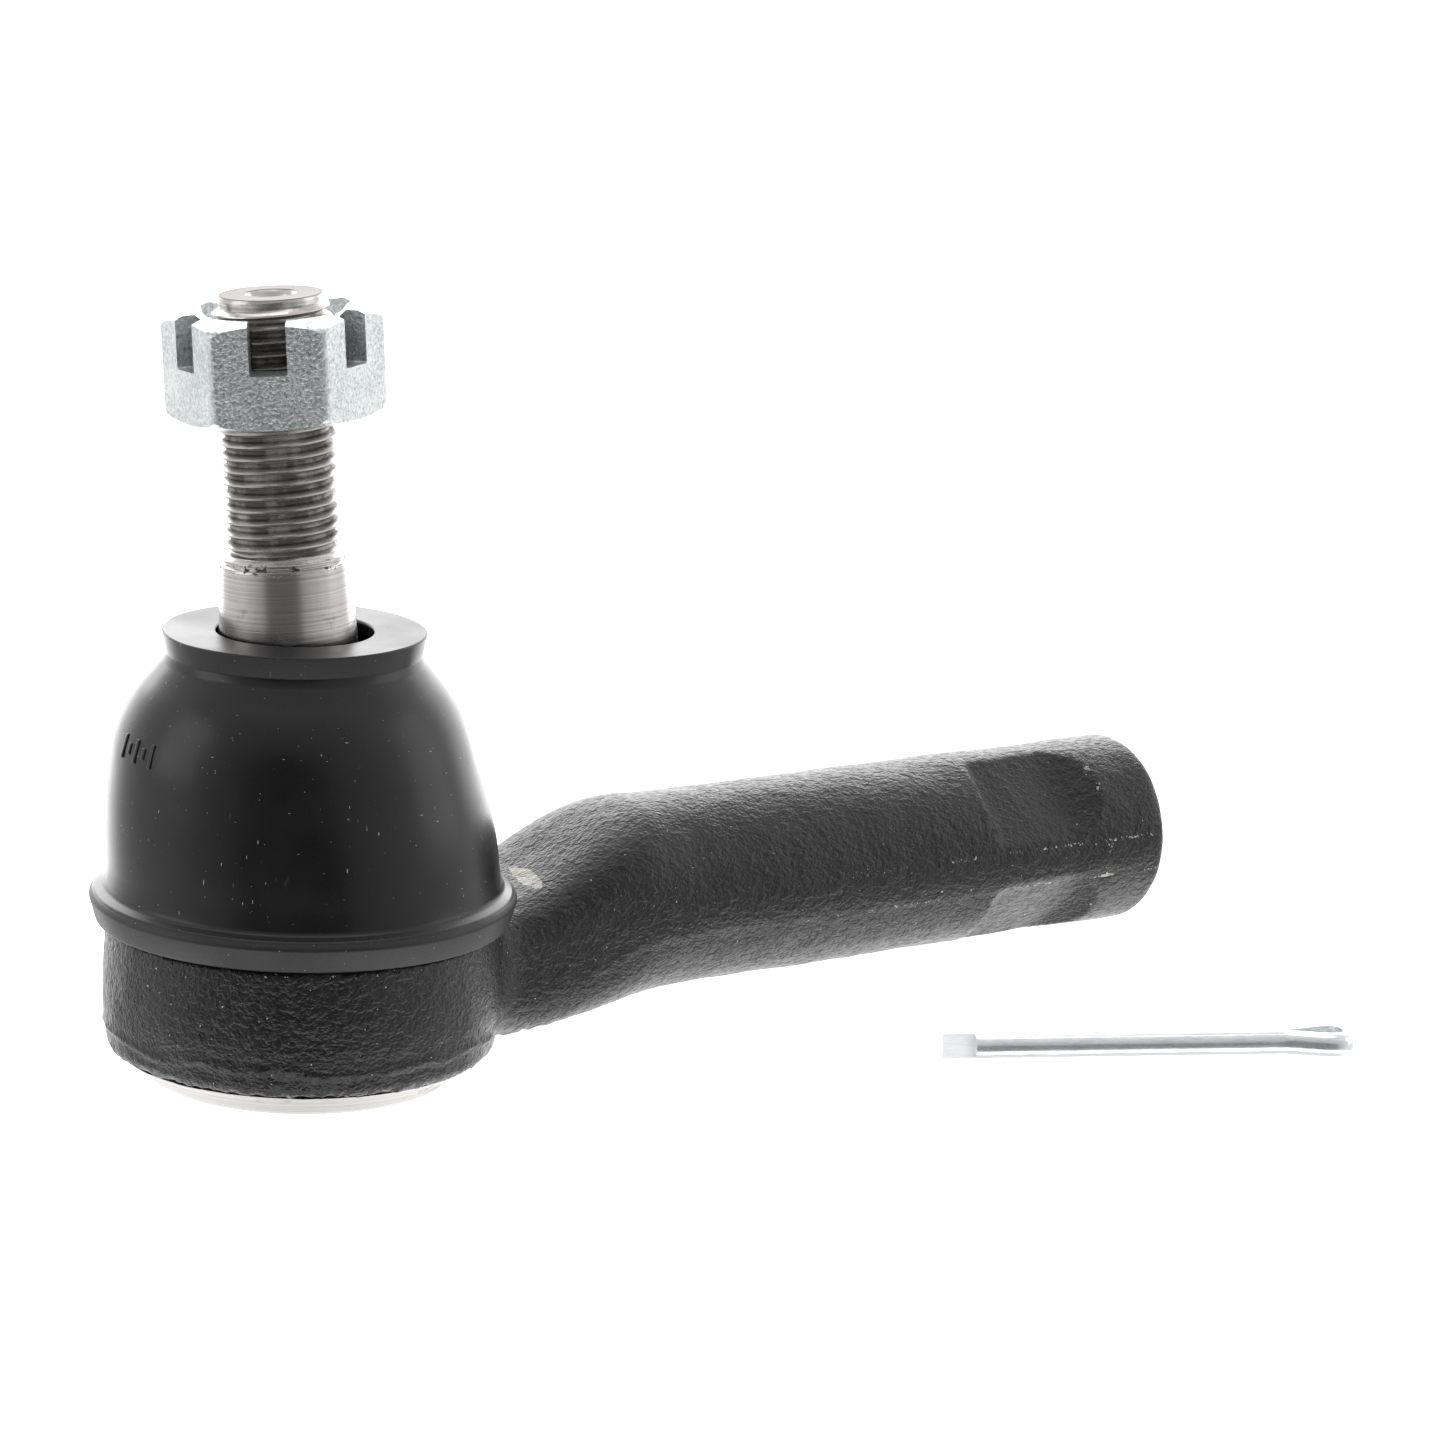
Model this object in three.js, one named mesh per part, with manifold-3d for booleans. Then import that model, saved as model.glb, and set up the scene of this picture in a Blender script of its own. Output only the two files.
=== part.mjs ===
// Tie rod end: ball joint housing with a threaded shank, rubber boot, tapered ball stud,
// slotted nut and split pin. Millimetres, +Z up.
//
// The origin is on the ball joint's axis, on the pad of the cover plate that the joint stands on.
// +Z runs up the joint's axis and +X runs along the shank. The stud leans a little in its socket.
import * as THREE from 'three';
import { mergeVertices } from 'three/addons/utils/BufferGeometryUtils.js';
import Module from 'manifold-3d';

const wasm = await Module();
wasm.setup();

// ---------------------------------------------------------------- driving dimensions

// ball joint
const ballRadius = 10.5;
const ballFlatRadius = 5.0;
const ballFlatGap = 0.567;
const ballClearance = 0.15;
const seatWall = 3.35;
const seatFit = 0.1;
const seatSplitGap = 0.3;
const seatMouthAngle = 58;
const seatHoleMargin = 0.6;

// housing
const housingWall = 5.5;
const shoulderOverBall = 0.9;
const crownThickness = 0.86;
const crownTaper = 1.9;
const mouthMargin = 2.3;
const mouthFlare = 1.2;
const registerWall = 2.4;
const registerHeight = 3.6;
const rimFootInset = 0.5;
const rimLipWidth = 1.6;
const rimLipThickness = 0.9;
const rimHeight = 2.6;
const rimSlopeInset = 1.4;
const rimStep = 0.6;
const partingLow = 5.0;
const partingHigh = 7.5;
const draft = 0.4;
const bootPocketGap = 0.6;

// cover plate and spring
const coverThickness = 2.1;
const coverLedge = 1.4;
const coverPadRadius = 8.5;
const coverDishWidth = 2.0;
const springThickness = 0.7;
const springHoleMargin = 0.6;
const springRise = 0.8;
const springInset = 1.0;

// boot
const bootFlangeOverhang = 1.4;
const bootFlangeThickness = 3.0;
const bootFlangeLift = 0.25;
const bootFlangeTaper = 0.7;
const bootFootInset = 1.75;
const bootShoulderInset = 1.85;
const bootShoulderRise = 14.85;
const bootRise = 25.75;
const bootNeckWall = 5.1;
const bootNeckHeight = 2.6;
const bootWall = 2.0;
const bootLipHeight = 6.0;
const bootLipClearance = 0.58;
const bootNeckShift = 1.3;
const ringWall = 1.2;
const ringFootWidth = 1.5;
const ringFootThickness = 1.05;
const ringHeight = 3.1;
const insertFit = 0.05;

// stud, measured along its own axis from the ball's centre
const studLean = 3.8;
const leanTurn = 150.5;
const studNeckRadius = 5.4;
const studNeckEnd = 15.0;
const taperStart = 18.4;
const taperEnd = 36.8;
const taperEndRadius = 6.27;
const taperRatio = 1 / 8;
const threadRadius = 5.76;
const threadStart = 39.1;
const threadReliefDepth = 0.6;
const studEnd = 62.85;
const studTipChamfer = 1.45;
const centreHoleRadius = 2.2;
const pinHoleRadius = 1.6;
const pinHoleFromEnd = 5.0;
const pinHoleTurn = 28;

// nut
const nutAcrossFlats = 18.7;
const nutHeight = 10.3;
const nutSeatDistance = 51.0;
const nutSlotWidth = 3.6;
const nutSlotDepth = 5.0;
const nutThreadClearance = 0.08;
const nutChamfer = 0.7;
const nutChamferWidth = 1.6;
const nutTurn = -2.6;

// shank and arm
const shankHeight = 13.4;
const shankRadius = 10.05;
const shankEnd = 101.3;
const shankEndRound = 1.4;
const shankBoreRadius = 6.3;
const shankBoreDepth = 42;
const boreChamfer = 0.9;
const armFootInset = 0.6;
const armLength = 18.4;
const armFootHeight = 9.0;
const armFootRise = 0.5;
const armFootBottom = 2.2;
const armFootHalfWidth = 10.0;
const armFootSquareness = 3.0;
const armFillet = 5.0;
const flatFromEnd = 22.4;
const flatLength = 11.8;
const flatAcross = 17.1;

// split pin
const pinWireRadius = 1.3;
const pinSplitGap = 0.12;
const pinLegLength = 32.0;
const pinTailLength = 3.3;
const pinEyeLength = 6.6;
const pinEyeWidth = 3.6;
const pinPlaceX = 61.9;
const pinPlaceY = -28.6;
const pinTurn = -24.4;

// how finely the round pieces are stepped
const roundSteps = 60;
const fineSteps = 40;
const armRings = 10;
const pinSteps = 64;

// ---------------------------------------------------------------- sizes that follow from them

const seatInnerRadius = ballRadius + ballClearance;
const seatOuterRadius = seatInnerRadius + seatWall;
const socketRadius = seatOuterRadius + seatFit;
const housingRadius = socketRadius + housingWall;
const registerRadius = socketRadius + registerWall;
const coverRadius = socketRadius + coverLedge;
const coverTop = rimLipThickness + seatFit + coverThickness;
const ledgeHeight = coverTop + seatFit;
const seatBottom = coverTop + springThickness + springRise + seatFit;
const seatHoleRadius = ballFlatRadius + seatHoleMargin;
const seatMouthRadius = seatInnerRadius * Math.sin(radians(seatMouthAngle));
const ballFlatDrop = Math.sqrt(ballRadius ** 2 - ballFlatRadius ** 2);
const ballHeight = seatBottom + ballFlatGap + ballFlatDrop;
const seatMouthHeight = ballHeight + seatInnerRadius * Math.cos(radians(seatMouthAngle)) + 3 * seatFit;
const seatShoulderHeight = seatMouthHeight - 3.0;
const housingShoulderHeight = ballHeight + shoulderOverBall;
const housingTopHeight = seatMouthHeight + crownThickness;
const rimFootRadius = coverRadius - rimFootInset;
const rimHoleRadius = rimFootRadius - rimLipWidth;
const rimTopRadius = housingRadius - rimSlopeInset;
const springInnerRadius = seatHoleRadius + springHoleMargin;
const armFootPlace = housingRadius - armFootInset;
const armHeadPlace = housingRadius + armLength;
const armFootTop = housingShoulderHeight + armFootRise;

const flangeBottom = housingShoulderHeight + bootFlangeLift;
const flangeTop = flangeBottom + bootFlangeThickness;
const bootShoulderHeight = flangeTop + bootShoulderRise;
const bootHeight = flangeTop + bootRise;
const bootFlangeRadius = housingRadius + bootFlangeOverhang;
const bootFootRadius = bootFlangeRadius - bootFootInset;
const bootShoulderRadius = bootFootRadius - bootShoulderInset;
const ringInnerRadius = registerRadius + insertFit;
const taperSlope = taperRatio / 2;
const lipPlaceOnStud = (bootHeight - bootLipHeight - ballHeight) / Math.cos(radians(studLean));
const bootLipRadius = taperEndRadius + (taperEnd - lipPlaceOnStud) * taperSlope + bootLipClearance;
const bootNeckRadius = bootLipRadius + bootNeckWall;
const leanDirection = new THREE.Vector3(Math.cos(radians(leanTurn)), Math.sin(radians(leanTurn)), 0);

// ---------------------------------------------------------------- tools

function radians(degrees) {
  return THREE.MathUtils.degToRad(degrees);
}

/** Merges the seams of a geometry and turns its faces outwards, so that it bounds one solid. */
function closed(geometry) {
  geometry.deleteAttribute('normal');
  geometry.deleteAttribute('uv');
  const merged = mergeVertices(geometry, 1e-5);
  const place = merged.getAttribute('position');
  const corners = merged.index.array;
  const kept = [];
  const [a, b, c] = [new THREE.Vector3(), new THREE.Vector3(), new THREE.Vector3()];
  let volume = 0;
  for (let i = 0; i < corners.length; i += 3) {
    const [u, v, w] = [corners[i], corners[i + 1], corners[i + 2]];
    if (u !== v && v !== w && w !== u) {
      kept.push(u, v, w);
      a.fromBufferAttribute(place, u);
      b.fromBufferAttribute(place, v);
      c.fromBufferAttribute(place, w);
      volume += a.dot(b.cross(c));
    }
  }
  if (volume < 0) {
    kept.reverse();
  }
  merged.setIndex(kept);
  return merged;
}

function toManifold(geometry) {
  const solid = closed(geometry);
  return new wasm.Manifold(new wasm.Mesh({
    numProp: 3,
    vertProperties: new Float32Array(solid.getAttribute('position').array),
    triVerts: new Uint32Array(solid.index.array),
  }));
}

function fromManifold(solid) {
  const mesh = solid.getMesh();
  const geometry = new THREE.BufferGeometry();
  geometry.setAttribute('position', new THREE.BufferAttribute(mesh.vertProperties, 3));
  geometry.setIndex(new THREE.BufferAttribute(mesh.triVerts, 1));
  return geometry;
}

/** Revolves [radius, height] points about Z. A point may also be an arc made by `arc`. */
function revolve(points, steps = roundSteps) {
  const outline = points.flat().map(([r, z]) => new THREE.Vector2(r, z));
  const geometry = new THREE.LatheGeometry(outline, steps);
  geometry.rotateX(Math.PI / 2);
  return geometry;
}

/** Points of an arc in the revolved plane. Angles are in degrees from the +radius direction. */
function arc(r, z, radius, from, to, count) {
  return [Array.from({ length: count + 1 }, (_, i) => {
    const angle = radians(from + (to - from) * i / count);
    return [r + radius * Math.cos(angle), z + radius * Math.sin(angle)];
  })].flat();
}

/** A closed ring outline: the last point is the first one again. */
function ring(points) {
  const outline = points.flatMap((point) => (Array.isArray(point[0]) ? point : [point]));
  return [...outline, outline[0]].map((point) => [point]);
}

/** An outline that starts and ends on the axis. */
function rod(points) {
  return points.flatMap((point) => (Array.isArray(point[0]) ? point : [point])).map((point) => [point]);
}

function extrudeOutline(points, depth) {
  const shape = new THREE.Shape(points.map(([x, y]) => new THREE.Vector2(x, y)));
  return new THREE.ExtrudeGeometry(shape, { depth, bevelEnabled: false });
}

function look(color, roughness, metalness) {
  return new THREE.MeshStandardMaterial({ color, roughness, metalness });
}

function piece(name, geometry, material) {
  const mesh = new THREE.Mesh(geometry, material);
  mesh.name = name;
  return mesh;
}

// ---------------------------------------------------------------- housing, arm and shank

function housingBody() {
  return toManifold(revolve(rod([
    [0, 0],
    [rimFootRadius, 0],
    [rimTopRadius, rimHeight],
    [housingRadius - draft, rimHeight + rimStep],
    [housingRadius, rimHeight + partingLow],
    [housingRadius, rimHeight + partingHigh],
    [housingRadius - draft, housingShoulderHeight],
    [registerRadius, housingShoulderHeight],
    [registerRadius, housingShoulderHeight + registerHeight],
    [registerRadius - crownTaper, housingTopHeight],
    [0, housingTopHeight],
  ])));
}

function socketCut() {
  const mouthRadius = seatMouthRadius + mouthMargin;
  return toManifold(revolve(rod([
    [0, -1],
    [rimHoleRadius, -1],
    [rimHoleRadius, rimLipThickness],
    [coverRadius, rimLipThickness],
    [coverRadius, ledgeHeight],
    [socketRadius, ledgeHeight],
    [socketRadius, seatShoulderHeight],
    [mouthRadius, seatMouthHeight],
    [mouthRadius + mouthFlare, housingTopHeight + 1],
    [0, housingTopHeight + 1],
  ])));
}

/** Half the arm's width at x: straight, then flaring into the housing with a round fillet. */
function armHalfWidthAt(x, share) {
  const straight = THREE.MathUtils.lerp(armFootHalfWidth, shankRadius, share);
  const centreY = armFootHalfWidth + armFillet;
  const centreX = Math.sqrt((housingRadius + armFillet) ** 2 - centreY ** 2);
  const reach = Math.min(Math.max(centreX - x, 0), armFillet * 0.8);
  return straight + armFillet - Math.sqrt(armFillet ** 2 - reach ** 2);
}

/** Drops, squares and flares the rings of a round bar towards the housing, to make the arm. */
function bendArm(geometry) {
  const { lerp, smoothstep } = THREE.MathUtils;
  const place = geometry.getAttribute('position');
  for (let i = 0; i < place.count; i += 1) {
    const share = smoothstep(place.getX(i), armFootPlace, armHeadPlace);
    const angle = Math.atan2(place.getZ(i), place.getY(i));
    const size = Math.hypot(place.getZ(i), place.getY(i)) / shankRadius;
    const power = 2 / lerp(armFootSquareness, 2, share);
    const across = Math.sign(Math.cos(angle)) * Math.abs(Math.cos(angle)) ** power;
    const up = Math.sign(Math.sin(angle)) * Math.abs(Math.sin(angle)) ** power;
    const centre = lerp(armFootHeight, shankHeight, share);
    const top = lerp(armFootTop, shankHeight + shankRadius, share);
    const bottom = lerp(armFootBottom, shankHeight - shankRadius, share);
    const halfHeight = up > 0 ? top - centre : centre - bottom;
    place.setY(i, size * armHalfWidthAt(place.getX(i), share) * across);
    place.setZ(i, centre + size * halfHeight * up);
  }
  return geometry;
}

/** Arm and shank are one round bar, whose rings follow the arm up to the shank. */
function shankSolid() {
  const start = socketRadius + 1;
  const rings = Array.from({ length: armRings + 1 }, (_, i) => (
    [shankRadius, start + (armHeadPlace - start) * i / armRings]
  ));
  const bar = revolve(rod([
    [0, start],
    rings,
    [shankRadius, shankEnd - shankEndRound],
    arc(shankRadius - shankEndRound, shankEnd - shankEndRound, shankEndRound, 0, 90, 4).slice(1),
    [0, shankEnd],
  ]), fineSteps);
  bar.rotateY(Math.PI / 2);
  return toManifold(bendArm(bar));
}

function shankBoreCut() {
  const bore = revolve(rod([
    [0, 0],
    [shankBoreRadius, shankBoreRadius * 0.6],
    [shankBoreRadius, shankBoreDepth - boreChamfer],
    [shankBoreRadius + boreChamfer + 1, shankBoreDepth + 1],
    [0, shankBoreDepth + 1],
  ]), fineSteps);
  bore.rotateY(Math.PI / 2);
  bore.translate(shankEnd - shankBoreDepth, 0, shankHeight);
  return toManifold(bore);
}

/** One wrench flat, `turn` degrees round the shank from the top. */
function flatCut(turn) {
  const block = new THREE.BoxGeometry(flatLength, 2 * shankRadius, shankRadius);
  block.translate(shankEnd - flatFromEnd + flatLength / 2, 0, (flatAcross + shankRadius) / 2);
  block.rotateX(radians(turn));
  block.translate(0, 0, shankHeight);
  return toManifold(block);
}

/** Room round the boot's flange, which the arm keeps clear of. */
function bootPocket() {
  return toManifold(revolve(ring([
    [registerRadius, housingShoulderHeight],
    [bootFlangeRadius + bootPocketGap, housingShoulderHeight],
    [bootFlangeRadius + bootPocketGap, housingTopHeight + 5],
    [registerRadius, housingTopHeight + 5],
  ])));
}

function housingGeometry() {
  const flatTurns = [45, 135, 225, 315];
  const arm = shankSolid().subtract(bootPocket());
  let solid = housingBody().add(arm);
  solid = solid.subtract(socketCut()).subtract(shankBoreCut());
  for (const turn of flatTurns) {
    solid = solid.subtract(flatCut(turn));
  }
  return fromManifold(solid);
}

// ---------------------------------------------------------------- what fills the socket

function coverPlateGeometry() {
  const edge = coverRadius - seatFit;
  const bottom = rimLipThickness + seatFit;
  const dishRadius = coverPadRadius + coverDishWidth;
  return closed(revolve(rod([
    [0, 0],
    [coverPadRadius, 0],
    [dishRadius, bottom],
    [edge, bottom],
    [edge, coverTop],
    [dishRadius, coverTop],
    [coverPadRadius, coverThickness],
    [0, coverThickness],
  ])));
}

function preloadSpringGeometry() {
  const outer = socketRadius - springInset;
  return closed(revolve(ring([
    [springInnerRadius, coverTop + springRise],
    [outer, coverTop + insertFit],
    [outer, coverTop + insertFit + springThickness],
    [springInnerRadius, coverTop + springRise + springThickness],
  ])));
}

function lowerBallSeatGeometry() {
  const holeAngle = THREE.MathUtils.radToDeg(Math.acos(seatHoleRadius / seatInnerRadius));
  return closed(revolve(ring([
    arc(0, ballHeight, seatInnerRadius, -holeAngle, -1.5, 9),
    [seatOuterRadius, ballHeight - seatSplitGap],
    [seatOuterRadius, seatBottom + 1],
    [seatOuterRadius - 1, seatBottom],
    [seatHoleRadius, seatBottom],
  ])));
}

function upperBallSeatGeometry() {
  return closed(revolve(ring([
    [seatOuterRadius, ballHeight],
    [seatOuterRadius, seatShoulderHeight - seatFit],
    [seatMouthRadius + mouthMargin - seatFit, seatMouthHeight - seatFit],
    arc(0, ballHeight, seatInnerRadius, 90 - seatMouthAngle, 0, 7),
  ])));
}

// ---------------------------------------------------------------- boot

/** Moves a boot outline's vertices sideways with height, so that the neck follows the stud. */
function shiftNeck(geometry) {
  const place = geometry.getAttribute('position');
  for (let i = 0; i < place.count; i += 1) {
    const share = THREE.MathUtils.smoothstep(place.getZ(i), flangeTop, bootShoulderHeight + 2);
    const shift = bootNeckShift * share;
    place.setX(i, place.getX(i) + leanDirection.x * shift);
    place.setY(i, place.getY(i) + leanDirection.y * shift);
  }
  return geometry;
}

function dustBootGeometry() {
  const neckFoot = bootHeight - bootNeckHeight;
  const ringTop = flangeBottom + ringHeight + insertFit;
  const ringOut = ringInnerRadius + ringWall + insertFit;
  const ringFootOut = ringInnerRadius + ringFootWidth + ringWall + insertFit;
  const ringFootTop = flangeBottom + ringFootThickness + insertFit;
  return closed(shiftNeck(revolve(ring([
    [ringFootOut, flangeBottom],
    [bootFlangeRadius - bootFlangeTaper, flangeBottom],
    [bootFlangeRadius, flangeTop - 0.5],
    [bootFlangeRadius - 0.5, flangeTop],
    [bootFootRadius + 0.7, flangeTop + 0.3],
    [bootFootRadius, flangeTop + 1.6],
    [bootFootRadius - 0.25, (flangeTop + bootShoulderHeight) / 2 - 1.5],
    [bootShoulderRadius + 0.7, (flangeTop + bootShoulderHeight) / 2 + 3.6],
    [bootShoulderRadius, bootShoulderHeight],
    [bootShoulderRadius - 0.75, bootShoulderHeight + 2.3],
    [bootShoulderRadius - 1.9, bootShoulderHeight + 4.3],
    [bootNeckRadius + 1.1, neckFoot - 2.0],
    [bootNeckRadius - 0.15, neckFoot],
    [bootNeckRadius, bootHeight - 0.4],
    [bootNeckRadius - 0.4, bootHeight],
    [bootLipRadius, bootHeight],
    [bootLipRadius, bootHeight - bootLipHeight],
    [bootNeckRadius - 1.6, bootHeight - bootLipHeight + 0.3],
    [bootShoulderRadius - bootWall - 1.7, bootShoulderHeight + 3.1],
    [bootShoulderRadius - bootWall, bootShoulderHeight],
    [bootFootRadius - bootWall, flangeTop + 4],
    [ringInnerRadius + 0.4, ringTop + 1.2],
    [ringInnerRadius + 0.1, ringTop],
    [ringOut, ringTop],
    [ringOut, ringFootTop],
    [ringFootOut, ringFootTop],
  ]))));
}

function bootBaseRingGeometry() {
  const bottom = flangeBottom;
  return closed(revolve(ring([
    [ringInnerRadius, bottom],
    [ringInnerRadius + ringWall + ringFootWidth, bottom],
    [ringInnerRadius + ringWall + ringFootWidth, bottom + ringFootThickness],
    [ringInnerRadius + ringWall, bottom + ringFootThickness],
    [ringInnerRadius + ringWall, bottom + ringHeight],
    [ringInnerRadius, bottom + ringHeight],
  ])));
}

// ---------------------------------------------------------------- stud and nut, in the stud's frame

function ballStudGeometry() {
  const neckAngle = THREE.MathUtils.radToDeg(Math.acos(studNeckRadius / ballRadius));
  const flatAngle = THREE.MathUtils.radToDeg(Math.asin(ballFlatDrop / ballRadius));
  const taperStartRadius = taperEndRadius + (taperEnd - taperStart) * taperSlope;
  const holeDepth = centreHoleRadius * 1.7;
  const stud = toManifold(revolve(rod([
    [0, -ballFlatDrop],
    arc(0, 0, ballRadius, -flatAngle, neckAngle, 16),
    [studNeckRadius - 0.15, studNeckEnd - 3],
    [studNeckRadius, studNeckEnd],
    [studNeckRadius + 0.9, studNeckEnd + 2.6],
    [taperStartRadius, taperStart],
    [taperEndRadius, taperEnd],
    [threadRadius - threadReliefDepth, taperEnd + 0.45],
    [threadRadius - threadReliefDepth, threadStart - 0.5],
    [threadRadius, threadStart],
    [threadRadius, studEnd - studTipChamfer],
    [threadRadius - studTipChamfer, studEnd],
    [centreHoleRadius, studEnd],
    [0, studEnd - holeDepth],
  ]), fineSteps));
  const hole = new THREE.CylinderGeometry(pinHoleRadius, pinHoleRadius, 3 * threadRadius, 20);
  hole.translate(0, 0, studEnd - pinHoleFromEnd);
  hole.rotateZ(radians(pinHoleTurn));
  return fromManifold(stud.subtract(toManifold(hole)));
}

function castleNutGeometry() {
  const corner = nutAcrossFlats / Math.sqrt(3);
  const bore = threadRadius + nutThreadClearance;
  const hexagon = Array.from({ length: 6 }, (_, i) => [
    corner * Math.cos(radians(60 * i)),
    corner * Math.sin(radians(60 * i)),
  ]);
  const chamferTurn = toManifold(revolve(rod([
    [0, 0],
    [corner - nutChamferWidth, 0],
    [corner + 0.1, nutChamfer],
    [corner + 0.1, nutHeight - nutChamfer],
    [corner - nutChamferWidth, nutHeight],
    [0, nutHeight],
  ])));
  const boreCut = toManifold(revolve(rod([
    [0, -1],
    [bore + 1.7, -1],
    [bore, 0.7],
    [bore, nutHeight - 0.7],
    [bore + 1.7, nutHeight + 1],
    [0, nutHeight + 1],
  ]), fineSteps));
  let solid = toManifold(extrudeOutline(hexagon, nutHeight)).intersect(chamferTurn).subtract(boreCut);
  for (const turn of [30, 90, 150]) {
    const slot = new THREE.BoxGeometry(3 * corner, nutSlotWidth, 2 * nutSlotDepth);
    slot.rotateZ(radians(turn));
    slot.translate(0, 0, nutHeight);
    solid = solid.subtract(toManifold(slot));
  }
  return fromManifold(solid);
}

// ---------------------------------------------------------------- split pin

/** The half-round wire: one leg, round the eye, and back along the longer leg. */
function splitPinRoute() {
  const half = pinSplitGap / 2;
  const bulge = pinEyeWidth / 2 * 1.55;
  const tip = pinLegLength + pinEyeLength;
  const at = (x, y) => new THREE.Vector3(x, y, 0);
  const route = new THREE.CurvePath();
  route.add(new THREE.LineCurve3(at(0, -half), at(pinLegLength, -half)));
  route.add(new THREE.CubicBezierCurve3(
    at(pinLegLength, -half),
    at(pinLegLength + pinEyeLength * 0.4, -half),
    at(tip, -bulge),
    at(tip, 0),
  ));
  route.add(new THREE.CubicBezierCurve3(
    at(tip, 0),
    at(tip, bulge),
    at(pinLegLength + pinEyeLength * 0.4, half),
    at(pinLegLength, half),
  ));
  route.add(new THREE.LineCurve3(at(pinLegLength, half), at(-pinTailLength, half)));
  return route;
}

function cotterPinGeometry() {
  const section = new THREE.Shape();
  section.absarc(0, 0, pinWireRadius, Math.PI, 2 * Math.PI, false);
  section.closePath();
  return closed(new THREE.ExtrudeGeometry(section, {
    steps: pinSteps,
    curveSegments: 7,
    extrudePath: splitPinRoute(),
    bevelEnabled: false,
  }));
}

// ---------------------------------------------------------------- the assembly

const forging = look(0x2b2b2d, 0.5, 0.2);
const bareSteel = look(0xb9b9b6, 0.32, 0.95);
const zinc = look(0xc0c6c6, 0.35, 0.85);
const rubber = look(0x1f1e21, 0.55, 0.0);
const polymer = look(0xe6e2d6, 0.5, 0.0);
const springSteel = look(0x5c5e62, 0.4, 0.9);

const group = new THREE.Group();
group.add(piece('housing', housingGeometry(), forging));
group.add(piece('cover_plate', coverPlateGeometry(), bareSteel.clone()));
group.add(piece('preload_spring', preloadSpringGeometry(), springSteel));
group.add(piece('lower_ball_seat', lowerBallSeatGeometry(), polymer.clone()));
group.add(piece('upper_ball_seat', upperBallSeatGeometry(), polymer));
group.add(piece('dust_boot', dustBootGeometry(), rubber));
group.add(piece('boot_base_ring', bootBaseRingGeometry(), springSteel.clone()));

// the stud's frame: at the ball's centre, leaning towards leanDirection
const studFrame = new THREE.Group();
studFrame.position.set(0, 0, ballHeight);
const leanAxis = new THREE.Vector3(0, 0, 1).cross(leanDirection).normalize();
studFrame.quaternion.setFromAxisAngle(leanAxis, radians(studLean));
studFrame.add(piece('ball_stud', ballStudGeometry(), bareSteel));

const nut = piece('castle_nut', castleNutGeometry(), zinc);
nut.position.set(0, 0, nutSeatDistance);
nut.rotation.set(0, 0, radians(leanTurn + nutTurn));
studFrame.add(nut);
group.add(studFrame);

const pin = piece('cotter_pin', cotterPinGeometry(), zinc.clone());
pin.position.set(pinPlaceX, pinPlaceY, pinWireRadius);
pin.rotation.set(0, 0, radians(pinTurn));
group.add(pin);

export default group;
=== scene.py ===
"""Looks of a tie rod end: forged housing, rubber boot, ball stud, slotted nut and split pin.

Meshes are modelled in millimetres in the part's own frame, +Z up the joint's axis and +X along the
shank, and each finished piece is scaled to metres with its place in its mesh.
"""

from __future__ import annotations

import logging
import math
from collections.abc import Callable, Iterable, Sequence
from dataclasses import dataclass, field
from enum import Enum

import bmesh
import bpy
from bmesh.types import BMEdge, BMesh, BMFace, BMVert
from bpy.types import Material, Node, NodeSocket, NodeTree, Object
from mathutils import Matrix, Vector, noise


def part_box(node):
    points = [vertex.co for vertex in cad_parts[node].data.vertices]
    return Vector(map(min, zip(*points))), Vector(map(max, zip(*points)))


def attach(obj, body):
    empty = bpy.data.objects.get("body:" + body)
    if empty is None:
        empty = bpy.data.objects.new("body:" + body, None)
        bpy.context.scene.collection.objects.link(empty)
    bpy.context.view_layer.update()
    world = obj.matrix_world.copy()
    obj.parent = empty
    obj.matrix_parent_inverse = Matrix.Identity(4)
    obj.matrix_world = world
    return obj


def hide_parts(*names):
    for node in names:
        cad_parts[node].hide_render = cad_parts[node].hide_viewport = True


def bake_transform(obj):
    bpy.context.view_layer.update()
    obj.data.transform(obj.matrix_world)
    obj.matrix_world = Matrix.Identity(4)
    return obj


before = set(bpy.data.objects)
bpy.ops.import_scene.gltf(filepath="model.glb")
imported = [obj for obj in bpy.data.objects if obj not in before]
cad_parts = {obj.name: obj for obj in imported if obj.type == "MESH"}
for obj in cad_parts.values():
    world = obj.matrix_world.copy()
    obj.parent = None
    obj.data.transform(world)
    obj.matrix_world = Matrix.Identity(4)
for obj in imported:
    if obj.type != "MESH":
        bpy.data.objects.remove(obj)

LOG = logging.getLogger("tie_rod_end")
MM = 0.001
MERGE = 0.0004
FULL_TURN = 2 * math.pi

Corner = tuple[float, ...]
Colour = tuple[float, float, float]


class Cut(Enum):
    """What a boolean does with its tool."""

    JOIN = "UNION"
    REMOVE = "DIFFERENCE"
    KEEP_COMMON = "INTERSECT"


class Seat(Enum):
    """The two halves of the polymer bearing."""

    LOWER = "lower_ball_seat"
    UPPER = "upper_ball_seat"


# ------------------------------------------------------------------ outlines and meshes


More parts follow.
